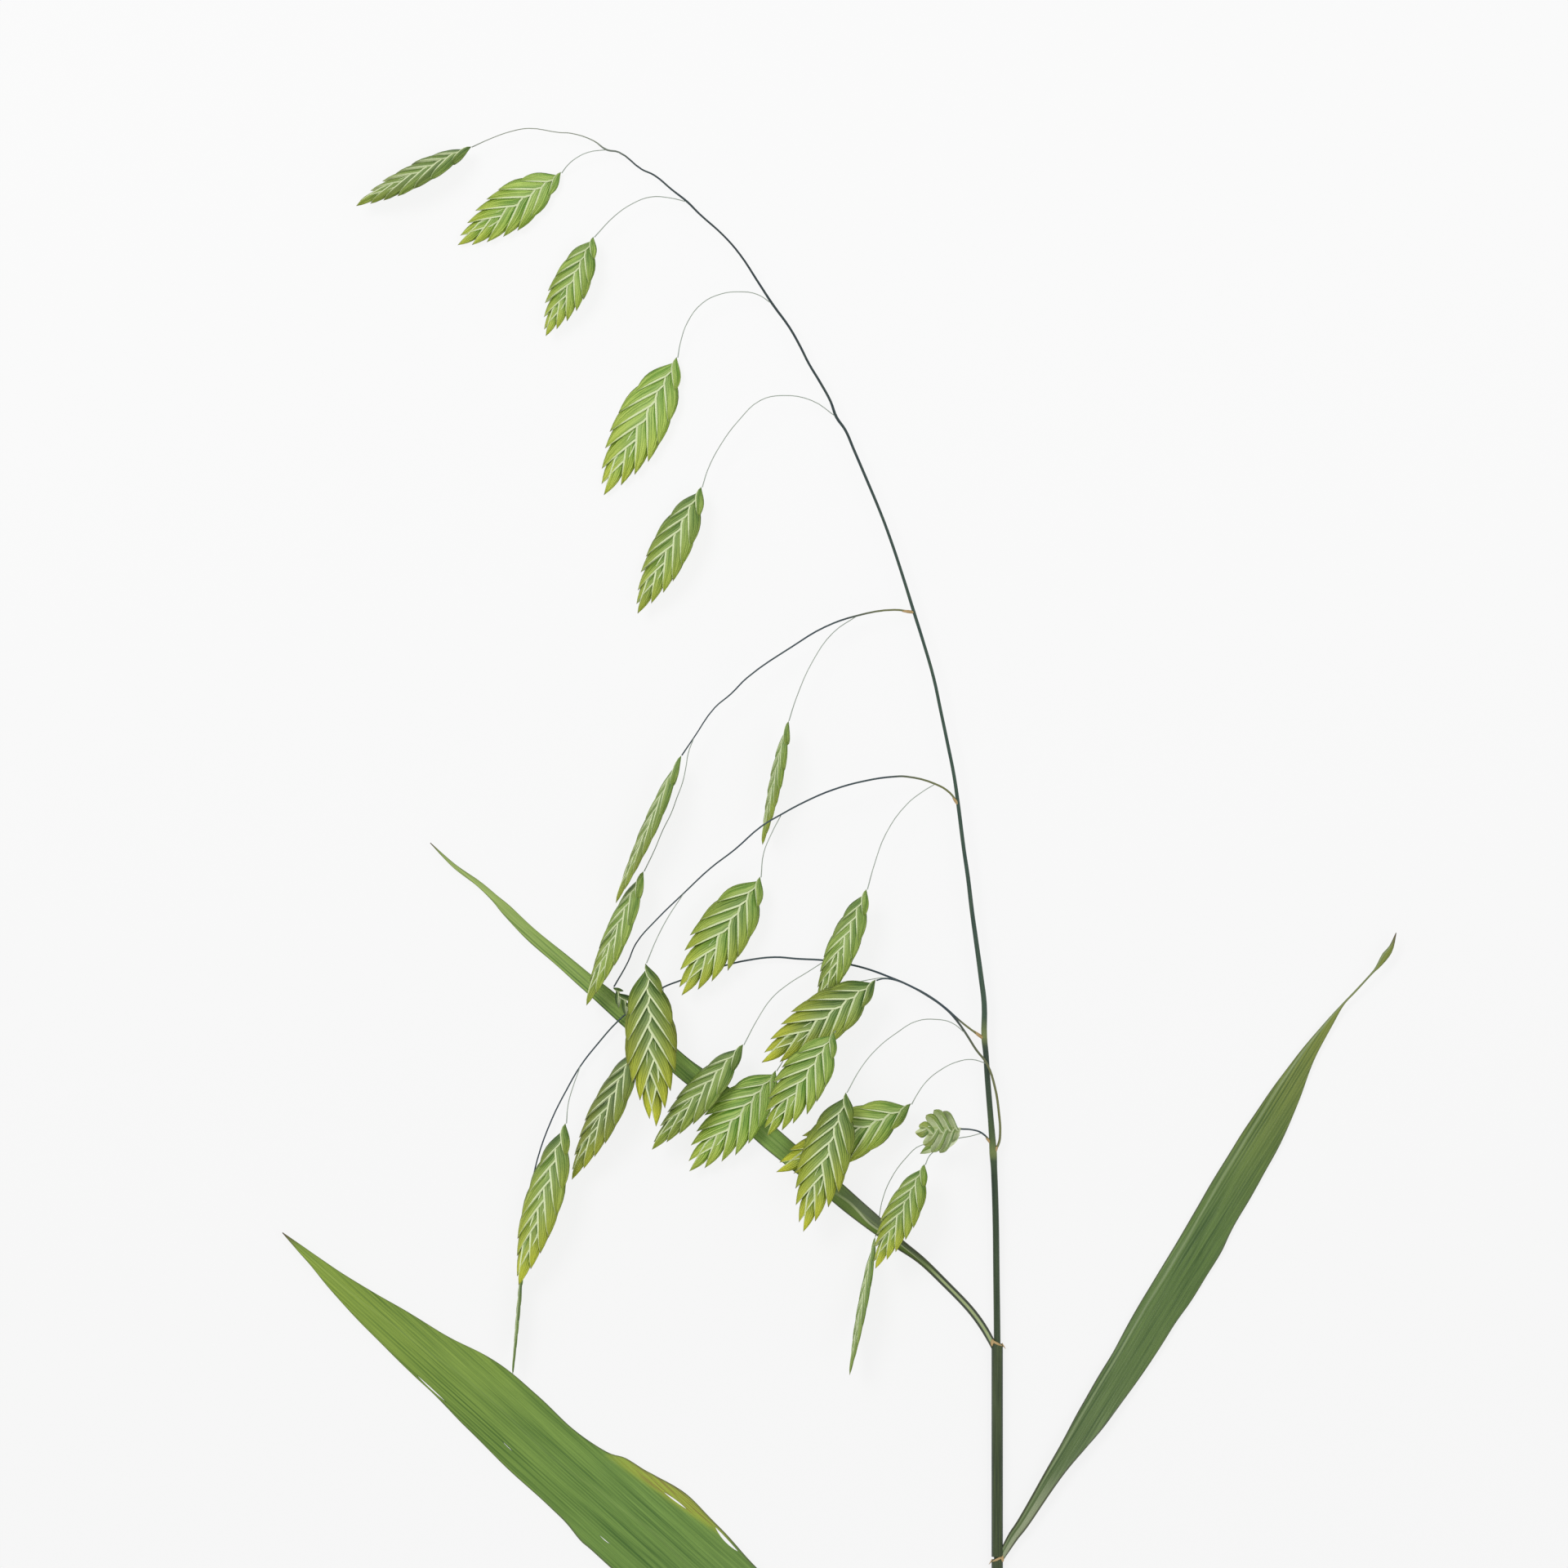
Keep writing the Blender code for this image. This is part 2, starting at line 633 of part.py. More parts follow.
def spikelet_scales(length, half_width, draw):
    """Root, tip and side of each scale, from the foot upwards, on alternate sides."""
    scales = []
    for number in range(SCALES_PER_SPIKELET):
        share = number / (SCALES_PER_SPIKELET - 1)
        side = 1 if number % 2 == 0 else -1
        tip_share = FIRST_TIP + (1.0 - FIRST_TIP) * share + draw.uniform(-0.012, 0.012)
        tip_share = min(tip_share, 1.0)
        reach = half_width * outline_share(tip_share) * draw.uniform(0.95, 1.03)
        root = (length * LAST_ROOT * share, 0.0)
        tip = (length * tip_share, side * max(reach, 0.1))
        scales.append((root, tip, side))
    return scales


def spikelet_matrix(foot, tip, roll):
    """Turns and moves a spikelet's own frame onto its foot, tip and roll."""
    along = (tip - foot).normalized()
    up = Vector((0.0, 0.0, 1.0))
    face = (up - along * up.dot(along)).normalized()
    face = Matrix.Rotation(math.radians(roll), 3, along) @ face
    across = face.cross(along)
    turn = Matrix((along, across, face)).transposed()
    return Matrix.Translation(foot) @ turn.to_4x4()


def build_spikelet(number, foot_px, tip_px, half_width, roll, draw):
    name = f"spikelet_{number:02d}"
    foot = place(*foot_px)
    tip = place(*tip_px)
    matrix = spikelet_matrix(foot, tip, roll)
    length = (tip - foot).length / MM
    pieces = []
    for index, (root, end, side) in enumerate(spikelet_scales(length, half_width, draw)):
        ridge = SCALE_HALF_THICKNESS * (1.0 - RIDGE_LOSS * index)
        points, faces = scale_mesh(root, end, side, ridge)
        placed = [matrix @ (Vector(point) * MM) for point in points]
        pieces.append(add_object(name if index == 0 else f"{name}_{index}", placed, faces))
    finish(fuse(pieces), "spikelet")


def main():
    clear_scene()
    draw = random.Random(JITTER_SEED)
    build_culm()
    build_leaf("flag_leaf", FLAG_BLADE, FLAG_SHEATH)
    build_leaf("right_leaf", RIGHT_BLADE, RIGHT_SHEATH)
    build_leaf("left_leaf", LEFT_BLADE, LEFT_SHEATH)
    for name, routes in BRANCHES.items():
        build_branch(name, routes)
    for number, (foot, tip, half_width, roll) in enumerate(SPIKELETS, start=1):
        build_spikelet(number, foot, tip, half_width, roll, draw)


main()
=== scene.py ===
"""Northern sea oats, dressed: fine scales, ribbed blades, thin stalks and their finishes.

Metres, +Z up. Routes and stations are the part's own, as two pixels of the reference
photograph and a height in millimetres. The camera looks straight down on the laid stem.
"""

import math
import random

import bpy
from mathutils import Matrix, Vector

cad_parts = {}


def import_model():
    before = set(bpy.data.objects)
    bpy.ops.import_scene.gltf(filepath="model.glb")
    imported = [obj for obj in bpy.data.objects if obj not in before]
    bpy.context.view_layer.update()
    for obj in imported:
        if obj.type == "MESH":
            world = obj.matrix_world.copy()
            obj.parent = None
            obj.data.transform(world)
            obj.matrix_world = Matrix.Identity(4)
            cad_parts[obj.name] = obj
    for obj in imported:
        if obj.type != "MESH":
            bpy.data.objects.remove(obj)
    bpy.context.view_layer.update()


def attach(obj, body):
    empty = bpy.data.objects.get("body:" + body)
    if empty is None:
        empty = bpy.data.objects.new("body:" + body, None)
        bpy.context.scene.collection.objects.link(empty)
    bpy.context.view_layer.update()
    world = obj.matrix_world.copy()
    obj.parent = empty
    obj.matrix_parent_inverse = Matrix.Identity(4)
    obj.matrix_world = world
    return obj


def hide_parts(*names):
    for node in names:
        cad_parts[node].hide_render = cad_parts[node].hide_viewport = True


MM = 0.001

# The photograph's pixels
MM_PER_PIXEL = 0.16
CENTRE_X_PX = 1027.9
CENTRE_Y_PX = 1288.2
PHOTO_SIDE_PX = 1920

# Camera, light and floor. Each lamp has a place, a size and a power
LENS_MM = 400.0
SENSOR_MM = 36.0
NEAREST_VIEW = 0.05
FURTHEST_VIEW = 50.0
WORLD_STRENGTH = 0.62
LAMPS = {
    "key": ((-0.9, 0.9, 1.6), 0.9, 16.0),
    "fill": ((1.1, -0.5, 1.5), 1.2, 6.0),
}
FLOOR_SIDE = 12.0
FLOOR_DROP_MM = 0.02
FLOOR_WHITE = 0.10
FLOOR_GLOW = 0.85

# Scales of a spikelet
SCALES_PER_SPIKELET = 13
FIRST_TIP = 0.20
TIP_CROWDING = 0.75
LAST_ROOT = 0.64
ROOT_CROWDING = 1.4
EARLY_FULLNESS = 0.1
ROOT_OFFSET_MM = 0.25
SCALE_ROWS = 9
KEEL_BULGE = 0.135
KEEL_SKEW = 1.25
SHOULDER_DEPTH = 0.125
SHOULDER_PLACE = 0.30
SHOULDER_ROUNDNESS = 0.6
OUTLINE_SKEW = 1.1
OUTLINE_ROUNDNESS = 0.85
RIDGE_FULLNESS = 1.3
FOLD_ROUNDNESS = 0.55
RIDGE_MM = 0.92
RIDGE_LOSS = 0.03
THIN_SPIKELETS = {6: 0.8, 7: 0.8, 16: 0.8, 21: 0.5, 23: 0.4, 24: 0.6}
FEWER_SCALES = {19: 9, 24: 7}
LONG_GLUMES = {19: ((1175, 1389, 4.5), (1126, 1412, 6.5), 25.0)}
SCALE_SEED = 11
TIP_JITTER = 0.010
REACH_JITTER = (0.95, 1.03)
LEAST_REACH_MM = 0.1
FIRST_AGE = 0.30
AGE_GAIN = 0.85
AGE_JITTER = (0.85, 1.1)
TONE_JITTER = 0.15
GLUME_RIDGE_MM = 0.8
GLUME_FULLNESS = 1.2
GLUME_AGE = 0.1

# The culm from its cut end to the first spikelet: x, y, height and radius
CULM_ROUTE = (
    (1221, 2420, 1.12, 0.66),
    (1221, 2280, 1.12, 0.66),
    (1221, 2090, 1.12, 0.66),
    (1221, 1908, 1.12, 0.66),
    (1221, 1780, 1.12, 0.66),
    (1221, 1650, 1.12, 0.66),
    (1220, 1560, 1.35, 0.64),
    (1219, 1487, 1.65, 0.63),
    (1217, 1430, 1.90, 0.63),
    (1216, 1412, 2.00, 0.74),
    (1215, 1396, 2.07, 0.66),
    (1213, 1370, 2.15, 0.58),
    (1209, 1320, 2.40, 0.56),
    (1207, 1290, 2.52, 0.55),
    (1205, 1270, 2.60, 0.58),
    (1205, 1230, 2.75, 0.53),
    (1201, 1196, 2.85, 0.50),
    (1195, 1152, 3.00, 0.46),
    (1190, 1116, 3.10, 0.43),
    (1185, 1074, 3.22, 0.41),
    (1180, 1040, 3.32, 0.38),
    (1173, 985, 3.50, 0.38),
    (1168, 950, 3.50, 0.34),
    (1160, 910, 3.50, 0.33),
    (1152, 872, 3.50, 0.32),
    (1143, 830, 3.50, 0.32),
    (1130, 785, 3.50, 0.31),
    (1119, 750, 3.50, 0.33),
    (1105, 705, 3.45, 0.30),
    (1090, 660, 3.40, 0.29),
    (1078, 628, 3.36, 0.28),
    (1060, 585, 3.30, 0.28),
    (1045, 550, 3.25, 0.27),
    (1035, 527, 3.22, 0.27),
    (1024, 511, 3.20, 0.29),
    (1017, 492, 3.17, 0.25),
    (1005, 470, 3.13, 0.25),
    (990, 445, 3.10, 0.24),
    (980, 425, 3.07, 0.24),
    (967, 402, 3.04, 0.24),
    (946, 373, 3.00, 0.25),
    (929, 347, 2.95, 0.22),
    (906, 312, 2.90, 0.20),
    (886, 289, 2.87, 0.19),
    (856, 262, 2.83, 0.20),
    (842, 248, 2.80, 0.22),
    (823, 233, 2.76, 0.19),
    (801, 215, 2.72, 0.18),
    (786, 208, 2.68, 0.17),
    (758, 187, 2.62, 0.17),
    (743, 184, 2.60, 0.19),
    (727, 173, 2.70, 0.12),
    (700, 164, 2.85, 0.10),
    (685, 163, 2.95, 0.09),
    (648, 158, 3.12, 0.09),
    (625, 162, 3.25, 0.09),
    (600, 171, 3.35, 0.09),
    (578, 181, 3.40, 0.11),
)

# Sheaths: leaf, low and high end along the straight foot of the culm
SHEATH_X_PX = 1221
SHEATH_RADIUS = 1.12
SHEATH_WALL = 0.34
SHEATHS = {"flag_leaf": (1906, 1645), "right_leaf": (2277, 1909), "left_leaf": (2396, 2280)}
LIP_MM = 0.08

# Collars: ring radii; swelling radius; spine radii and length; places from the sheath's mouth
COLLAR_SIDE = {"flag_leaf": -1, "right_leaf": 1, "left_leaf": -1}
COLLAR_SLANT = 28.0
RING_MM = (0.96, 0.26)
SWELLING_MM = 0.52
SWELLING_PLACE_MM = (0.88, 0.1, 0.2)
SWELLING_STRETCH = (0.9, 1.5, 1.1)
SPINE_MM = (0.22, 0.03, 1.3)
SPINE_PLACE_MM = (-1.25, -0.5, 0.3)
SPINE_LEAN = 38.0

# Leaf blades from collar to tip: x, y, width in pixels, height and arch in millimetres
BLADES = {
    "flag_leaf": (
        (1218, 1650, 8, 1.45, 0.0),
        (1204, 1625, 8, 1.35, -0.3),
        (1186, 1601, 8, 1.50, -0.3),
        (1157, 1571, 8, 1.80, -0.4),
        (1128, 1543, 9, 2.00, -0.4),
        (1100, 1522, 13, 2.10, -0.4),
        (1072, 1499, 20, 2.10, -0.3),
        (1045, 1477, 23, 2.00, -0.2),
        (1012, 1449, 25, 1.80, 0.0),
        (978, 1422, 26, 1.50, 0.1),
        (948, 1397, 28, 1.20, 0.2),
        (921, 1373, 28, 0.95, 0.2),
        (896, 1352, 29, 0.75, 0.2),
        (864, 1328, 28, 0.55, 0.2),
        (835, 1306, 26, 0.40, 0.2),
        (800, 1274, 24, 0.32, 0.2),
        (768, 1245, 24, 0.30, 0.2),
        (741, 1221, 23, 0.30, 0.2),
        (717, 1201, 20, 0.30, 0.2),
        (687, 1175, 18, 0.32, 0.2),
        (650, 1144, 16, 0.38, 0.2),
        (620, 1114, 13, 0.50, 0.2),
        (607, 1101, 9, 0.60, 0.1),
        (586, 1082, 7, 0.80, 0.0),
        (556, 1060, 5, 1.20, 0.0),
        (527, 1032, 1, 1.70, 0.0),
    ),
    "right_leaf": (
        (1223, 1911, 8, 1.45, 0.0),
        (1240, 1882, 12, 1.60, -0.5),
        (1254, 1862, 14, 2.00, -0.6),
        (1290, 1804, 20, 2.30, -0.5),
        (1317, 1765, 29, 2.10, -0.3),
        (1338, 1734, 37, 1.70, 0.0),
        (1362, 1697, 42, 1.20, 0.2),
        (1385, 1662, 46, 0.80, 0.5),
        (1415, 1612, 50, 0.50, 0.7),
        (1434, 1583, 52, 0.40, 0.7),
        (1454, 1550, 53, 0.32, 0.7),
        (1471, 1522, 53, 0.30, 0.6),
        (1487, 1492, 51, 0.30, 0.6),
        (1523, 1431, 50, 0.30, 0.6),
        (1553, 1379, 45, 0.30, 0.5),
        (1576, 1337, 35, 0.35, 0.4),
        (1601, 1292, 20, 0.60, 0.2),
        (1628, 1252, 9, 1.00, 0.1),
        (1644, 1230, 3, 1.40, 0.0),
        (1659, 1214, 2.5, 1.70, 0.0),
        (1680, 1191, 2.5, 2.10, 0.0),
        (1687, 1183, 5, 2.20, 0.0),
        (1696, 1170, 9, 2.30, 0.0),
        (1703, 1160, 6, 2.35, 0.0),
        (1709, 1142, 1, 2.40, 0.0),
    ),
    "left_leaf": (
        (1218, 2292, 9, 1.40, 0.0),
        (1200, 2274, 16, 1.45, -0.3),
        (1170, 2243, 30, 2.00, -0.6),
        (1125, 2197, 50, 2.60, -0.8),
        (1070, 2142, 74, 2.60, -0.6),
        (1010, 2082, 98, 2.00, 0.2),
        (950, 2022, 116, 1.20, 1.2),
        (885, 1964, 124, 0.60, 2.0),
        (836, 1915, 127.5, 0.30, 2.4),
        (800, 1880, 128.5, 0.30, 2.4),
        (764, 1853, 121, 0.30, 2.3),
        (750, 1843, 117.5, 0.30, 2.2),
        (730, 1825, 107, 0.30, 2.0),
        (710, 1813, 96, 0.30, 1.9),
        (668, 1779.5, 90, 0.30, 1.8),
        (628, 1742, 90, 0.30, 1.7),
        (598, 1714, 86.5, 0.30, 1.5),
        (564, 1685.5, 77, 0.30, 1.3),
        (523, 1656.5, 62, 0.35, 1.0),
        (480, 1623, 50, 0.45, 0.7),
        (447, 1598, 38, 0.60, 0.5),
        (412, 1569, 25, 0.85, 0.3),
        (385, 1544, 14, 1.10, 0.1),
        (366, 1527, 8, 1.30, 0.0),
        (346, 1509, 1, 1.60, 0.0),
    ),
}
BLADE_CELLS = {"flag_leaf": (14, 150), "right_leaf": (24, 150), "left_leaf": (40, 240)}
BLADE_THICKNESS = 0.26
RIB_HEIGHT = 0.035
MIDRIB_HEIGHT = 0.05
FLUTTER_HEIGHT = 0.16
EDGE_STRAY = 0.008
NARROWEST_PX = 0.8
RIBBED_PX = (8.0, 40.0)
MIDRIB_PX = (0.5, 1.8)
EDGE_PX = (0.4, 1.6)
LOOK_AHEAD = 0.004
SLIT_END_MM = 0.04

# Where the midrib lies across each blade, and the straight line its veins follow, in pixels
MIDRIB_PLACE = {"flag_leaf": 0.50, "right_leaf": 0.84, "left_leaf": 0.47}
VEIN_LINES = {
    "flag_leaf": ((1215, 1644), (527, 1032)),
    "right_leaf": ((1227, 1903), (1644, 1230)),
    "left_leaf": ((1215, 2290), (346, 1509)),
}

# Torn slits in the left leaf: ends in pixels, and greatest width in millimetres
SLITS = (
    ((812, 1827), (842, 1849), 0.36),
    ((877, 1870), (908, 1898), 0.72),
    ((510, 1686), (545, 1717), 0.28),
    ((616, 1766), (630, 1777), 0.14),
    ((734, 1880), (748, 1892), 0.20),
)

# The yellowed bulge on the left leaf's upper margin: the ends of its inner line in pixels,
# and how far from that line it starts and is full
WORN_ENDS = ((738, 1783), (902, 1896))
WORN_FROM_MM, WORN_FULL_MM = -0.2, 0.9

# Stalks: each route starts on the culm or on its own branch, and ends at a spikelet's foot
BRANCHES = {
    "pedicel_02": (((742, 184, 2.6), (721, 187, 3.0), (706, 194, 2.8), (695, 203, 1.9), (688, 212, 1.0)),),
    "pedicel_03": (
        (
            (842, 248, 2.8), (820, 243, 3.4), (797, 242, 3.8), (775, 250, 3.8), (753, 265, 3.4),
            (728, 291, 2.8),
        ),
    ),
    "pedicel_04": (
        (
            (946, 373, 3.0), (927, 361, 3.6), (905, 358, 4.0), (882, 361, 4.1), (860, 372, 3.9),
            (842, 395, 3.0), (833, 421, 2.0), (830, 438, 1.1),
        ),
    ),
    "pedicel_05": (
        (
            (1024, 511, 3.2), (994, 491, 4.0), (958, 485, 4.6), (931, 491, 4.8), (905, 515, 4.6),
            (882, 546, 4.0), (867, 575, 3.5), (860, 597, 3.2),
        ),
    ),
    "branch_a": (
        (
            (1119, 750, 3.5), (1095, 747, 3.9), (1050, 754, 4.4), (1010, 768, 4.7), (970, 792, 4.9),
            (915, 830, 5.0), (895, 850, 5.0), (875, 867, 4.9), (850, 903, 4.6), (835, 925, 4.3),
        ),
        ((1050, 754, 4.4), (1020, 775, 4.6), (995, 810, 4.6), (975, 855, 4.4), (966, 883, 4.2)),
        (
            (850, 903, 4.6), (843, 922, 4.8), (840, 940, 4.9), (836, 958, 4.8), (829, 977, 4.7),
            (822, 996, 4.7), (812, 1016, 4.7), (802, 1040, 4.7), (789, 1067, 4.6),
        ),
    ),
    "branch_b": (
        (
            (1173, 985, 3.5), (1163, 971, 4.1), (1145, 960, 4.6), (1110, 951, 5.4), (1095, 951, 5.8),
            (1060, 956, 6.4), (1020, 967, 7.0), (985, 982, 7.4), (957, 997, 7.5), (932, 1012, 7.4),
            (900, 1040, 7.0), (870, 1063, 6.4), (838, 1093, 5.8), (804, 1126, 5.1), (779, 1155, 4.5),
            (769, 1178, 4.2), (752, 1208, 3.9),
        ),
        ((957, 997, 7.5), (945, 1020, 6.8), (935, 1045, 5.4), (932, 1074, 3.7)),
        ((838, 1093, 5.8), (820, 1120, 6.2), (805, 1148, 6.5), (792, 1179, 6.8)),
        (
            (1145, 960, 4.6), (1130, 969, 4.8), (1110, 985, 5.0), (1085, 1020, 5.2), (1070, 1060, 5.4),
            (1062, 1089, 5.4),
        ),
    ),
    "branch_c": (
        (
            (1205, 1272, 2.6), (1183, 1256, 3.9), (1171, 1246, 4.1), (1159, 1235, 4.3),
            (1134, 1217, 4.9), (1110, 1205, 5.5), (1093, 1199, 6.2), (1081, 1198, 6.7),
            (1073, 1200, 7.0),
        ),
        (
            (1093, 1199, 6.2), (1084, 1197, 5.4), (1066, 1199, 4.8), (1045, 1204, 4.6),
            (1024, 1213, 4.6), (1010, 1224, 4.6), (997, 1240, 4.6), (979, 1258, 4.6),
            (966, 1284, 4.7), (958, 1300, 5.0), (951, 1311, 5.2),
        ),
        (
            (1045, 1204, 4.6), (1037, 1214, 4.7), (1031, 1230, 4.9), (1027, 1250, 5.6),
            (1023, 1261, 8.0), (1022, 1263, 10.4),
        ),
    ),
    "branch_d": (
        (
            (1217, 1411, 2.1), (1223, 1399, 2.1), (1224.5, 1387, 2.2), (1223, 1363, 2.6), (1218, 1331, 3.4),
            (1208, 1302, 3.9), (1195, 1285, 3.8), (1183, 1266, 3.4), (1171, 1249, 3.0),
            (1159, 1236, 2.8), (1134, 1218, 2.6), (1110, 1205, 2.4), (1091, 1197, 2.2),
            (1064, 1187, 1.8), (1041, 1181, 1.5), (1011, 1176, 1.4), (977, 1174, 1.4),
            (948, 1172, 1.4), (914, 1176, 1.4), (892, 1181, 1.4), (860, 1191, 1.4), (832, 1201, 1.4),
            (812, 1209, 1.45), (785, 1227, 1.5), (757, 1250, 1.5), (732, 1278, 1.5), (711, 1305, 1.5),
            (693, 1336, 1.5), (676, 1370, 1.5), (658, 1420, 1.5), (651, 1455, 1.5), (646, 1500, 1.7),
            (640, 1548, 2.2),
        ),
        ((711, 1305, 1.5), (702, 1330, 3.2), (696, 1352, 4.6), (694, 1375, 5.2)),
        ((812, 1209, 1.45), (812, 1228, 1.6), (806, 1250, 2.0), (797, 1269, 3.0), (783, 1280, 3.9)),
        (
            (1011, 1176, 1.4), (989, 1190, 2.2), (965, 1205, 3.0), (945, 1222, 3.6), (928, 1247, 4.2),
            (911, 1279, 4.7),
        ),
        (
            (1183, 1266, 3.4), (1165, 1252, 3.7), (1147, 1248, 4.2), (1122, 1250, 5.2),
            (1098, 1264, 6.2), (1074, 1283, 7.0), (1054, 1307, 7.5), (1037, 1337, 7.8),
        ),
        (
            (1208, 1302, 3.9), (1190, 1297, 4.0), (1171, 1300, 4.2), (1151, 1310, 4.3),
            (1134, 1324, 4.3), (1122, 1341, 4.3), (1116, 1352, 4.3),
        ),
    ),
    "branch_e": (
        ((1216, 1402, 2.0), (1202, 1387, 2.6), (1190, 1383, 2.9), (1176, 1382, 3.2)),
        (
            (1202, 1387, 2.6), (1188, 1391, 2.3), (1172, 1394, 2.3), (1155, 1402, 2.6),
            (1144, 1409, 3.6), (1137, 1416, 4.8), (1133, 1425, 6.1),
        ),
        (
            (1155, 1402, 2.6), (1128, 1402, 2.0), (1109, 1418, 1.4), (1090, 1445, 1.0),
            (1080, 1471, 0.9), (1077, 1487, 0.9), (1074, 1503, 1.2), (1072, 1514, 1.7),
        ),
    ),
}

# Radii along a branch's main stalk, from its foot to its end, and of its pedicels
MAIN_RADII = {
    "branch_a": (0.20, 0.12),
    "branch_b": (0.21, 0.13),
    "branch_c": (0.21, 0.13),
    "branch_d": (0.25, 0.13),
    "branch_e": (0.20, 0.14),
}
PEDICEL_RADIUS = 0.09
PEDICEL_FLARE = 1.25
STEPS_PER_POINT = 4

# The tan foot of a branch: shares of its first stretch, and radii as shares of its own
FOOT_SHARES = (0.0, 0.3, 0.6)
FOOT_SWELL = (1.5, 1.6, 1.05)

# Spikelets: foot and tip (x, y, height), half width in millimetres, roll in degrees,
# tone from 0, shaded, to 1, sunlit, and how yellow the last scales are
SPIKELETS = (
    ((578, 181, 3.4), (435, 253, 3.4), 4.2, 55, 0.25, 0.25),
    ((688, 212, 1.0), (560, 300, 1.0), 4.45, 10, 1.00, 0.55),
    ((728, 291, 2.8), (668, 412, 2.8), 4.0, 25, 0.75, 0.50),
    ((830, 438, 1.1), (738, 607, 1.1), 5.2, 12, 1.00, 0.60),
    ((860, 597, 3.2), (780, 752, 3.2), 4.3, 30, 0.50, 0.45),
    ((835, 925, 4.3), (754, 1106, 4.3), 3.9, 70, 0.35, 0.35),
    ((966, 883, 4.2), (933, 1036, 4.2), 3.7, 73, 0.50, 0.40),
    ((789, 1067, 4.6), (718, 1231, 4.6), 3.5, 52, 0.50, 0.35),
    ((932, 1074, 3.7), (833, 1219, 3.7), 5.4, 5, 0.60, 0.70),
    ((792, 1179, 6.8), (803, 1379, 6.8), 4.9, 0, 0.12, 0.90),
    ((783, 1280, 3.9), (700, 1444, 3.9), 4.2, 45, 0.00, 0.55),
    ((911, 1279, 4.7), (798, 1407, 4.7), 4.0, 40, 0.30, 0.30),
    ((951, 1311, 5.2), (843, 1434, 2.4), 5.2, 3, 1.00, 0.42),
    ((1022, 1263, 10.4), (937, 1390, 10.4), 4.8, 10, 0.75, 0.50),
    ((1073, 1200, 7.0), (932, 1300, 7.0), 4.9, 8, 0.28, 0.88),
    ((1062, 1089, 5.4), (1000, 1235, 3.7), 3.4, 35, 0.50, 0.30),
    ((1037, 1337, 7.8), (982, 1508, 7.8), 4.8, 8, 0.28, 0.85),
    ((1116, 1352, 4.3), (948, 1434, 4.3), 4.8, 8, 0.70, 1.00),
    ((1176, 1382, 3.2), (1120, 1384, 25.0), 4.4, 0, 0.60, 0.35),
    ((1133, 1425, 6.1), (1071, 1552, 8.1), 4.0, 35, 0.55, 0.75),
    ((1072, 1514, 1.7), (1040, 1683, 6.2), 3.1, 75, 0.55, 0.15),
    ((694, 1375, 5.2), (635, 1573, 5.2), 4.1, 35, 0.40, 0.80),
    ((640, 1548, 2.2), (628, 1683, 3.6), 2.6, 85, 0.40, 0.05),
    ((752, 1208, 3.9), (788, 1256, 3.9), 2.1, 30, 0.00, 0.05),
)

# Colours, sRGB from 0 to 255
SHADED_SCALE = (46, 74, 30)
SHADED_STREAK = (84, 112, 48)
SUNLIT_SCALE = (108, 156, 48)
SUNLIT_STREAK = (176, 204, 104)
# Pale thin tissue of a scale, together with a painted sheen
SCALE_PALE_AND_SHEEN = (182, 204, 134)
RIPE_YELLOW = (214, 216, 58)
# The keel's pale hairy edge, together with a painted highlight along it
KEEL_PALE_AND_HIGHLIGHT = (168, 178, 96)
MARGIN_CREAM = (220, 230, 184)
POINT_BROWN = (132, 104, 70)
FLAP_GREY = (88, 100, 74)
FLAP_GREEN = (92, 116, 44)
FOLD_LINE = (176, 184, 146)
CHANNEL_PALE = (158, 170, 124)
CHANNEL_PAINTED_SHADE = (56, 74, 66)
# Painted shade on the sides of the flag blade's channel
TURNED_FACE = (150, 160, 126)
WORN_YELLOW = (156, 170, 60)
WORN_SPOT = (120, 98, 52)
BLADE_EDGE = (72, 74, 58)
DRY_TIP = (92, 80, 58)
SHEATH_DARK = (46, 60, 34)
SHEATH_LIGHT = (70, 84, 48)
# Painted reflection along the sheath's sides
SHEATH_SIDE_REFLECTION = (40, 56, 62)
STEM_STREAK = (104, 124, 78)
STALK_FOOT = (112, 114, 66)
STALK_SLATE = (46, 62, 72)
STALK_STREAK = (96, 110, 100)
PALE_STALK = (148, 158, 146)
TAN_JOINT = (170, 142, 96)
PLAIN_STREAK_GAIN = 40

# Factors on red, green and blue that deepen or brighten a streak
NERVE_TINT = (0.42, 0.52, 0.40)
DARK_STREAK_TINT = (0.42, 0.55, 0.42)
BRIGHT_STREAK_TINT = (1.62, 1.50, 1.60)

# Along the culm: the two ends of its colour ramp in pixels, and the colour at each share of it
STEM_RAMP_PX = (1650, 150)
STEM_STOPS = (
    (0.0, (48, 66, 42)),
    (0.14, (34, 54, 38)),
    (0.153, (56, 76, 50)),
    (0.158, (126, 138, 78)),
    (0.170, (78, 96, 56)),
    (0.20, (44, 64, 48)),
    (0.245, (36, 56, 52)),
    (0.254, (122, 134, 78)),
    (0.27, (54, 78, 64)),
    (0.36, (42, 66, 62)),
    (0.45, (46, 72, 64)),
    (0.62, (44, 68, 64)),
    (0.74, (34, 52, 62)),
    (0.90, (28, 42, 60)),
    (0.968, (50, 62, 74)),
    (0.984, (148, 154, 140)),
)

# How far the wide and the fine streaks are squeezed across and along a leaf
FIBRE_STRETCH = {"Wide": (1.0, 1.0), "Fine": (5.0, 1.4)}

# The colour sockets of a mix node
MIX_FIRST = 6
MIX_SECOND = 7
MIX_RESULT = 2

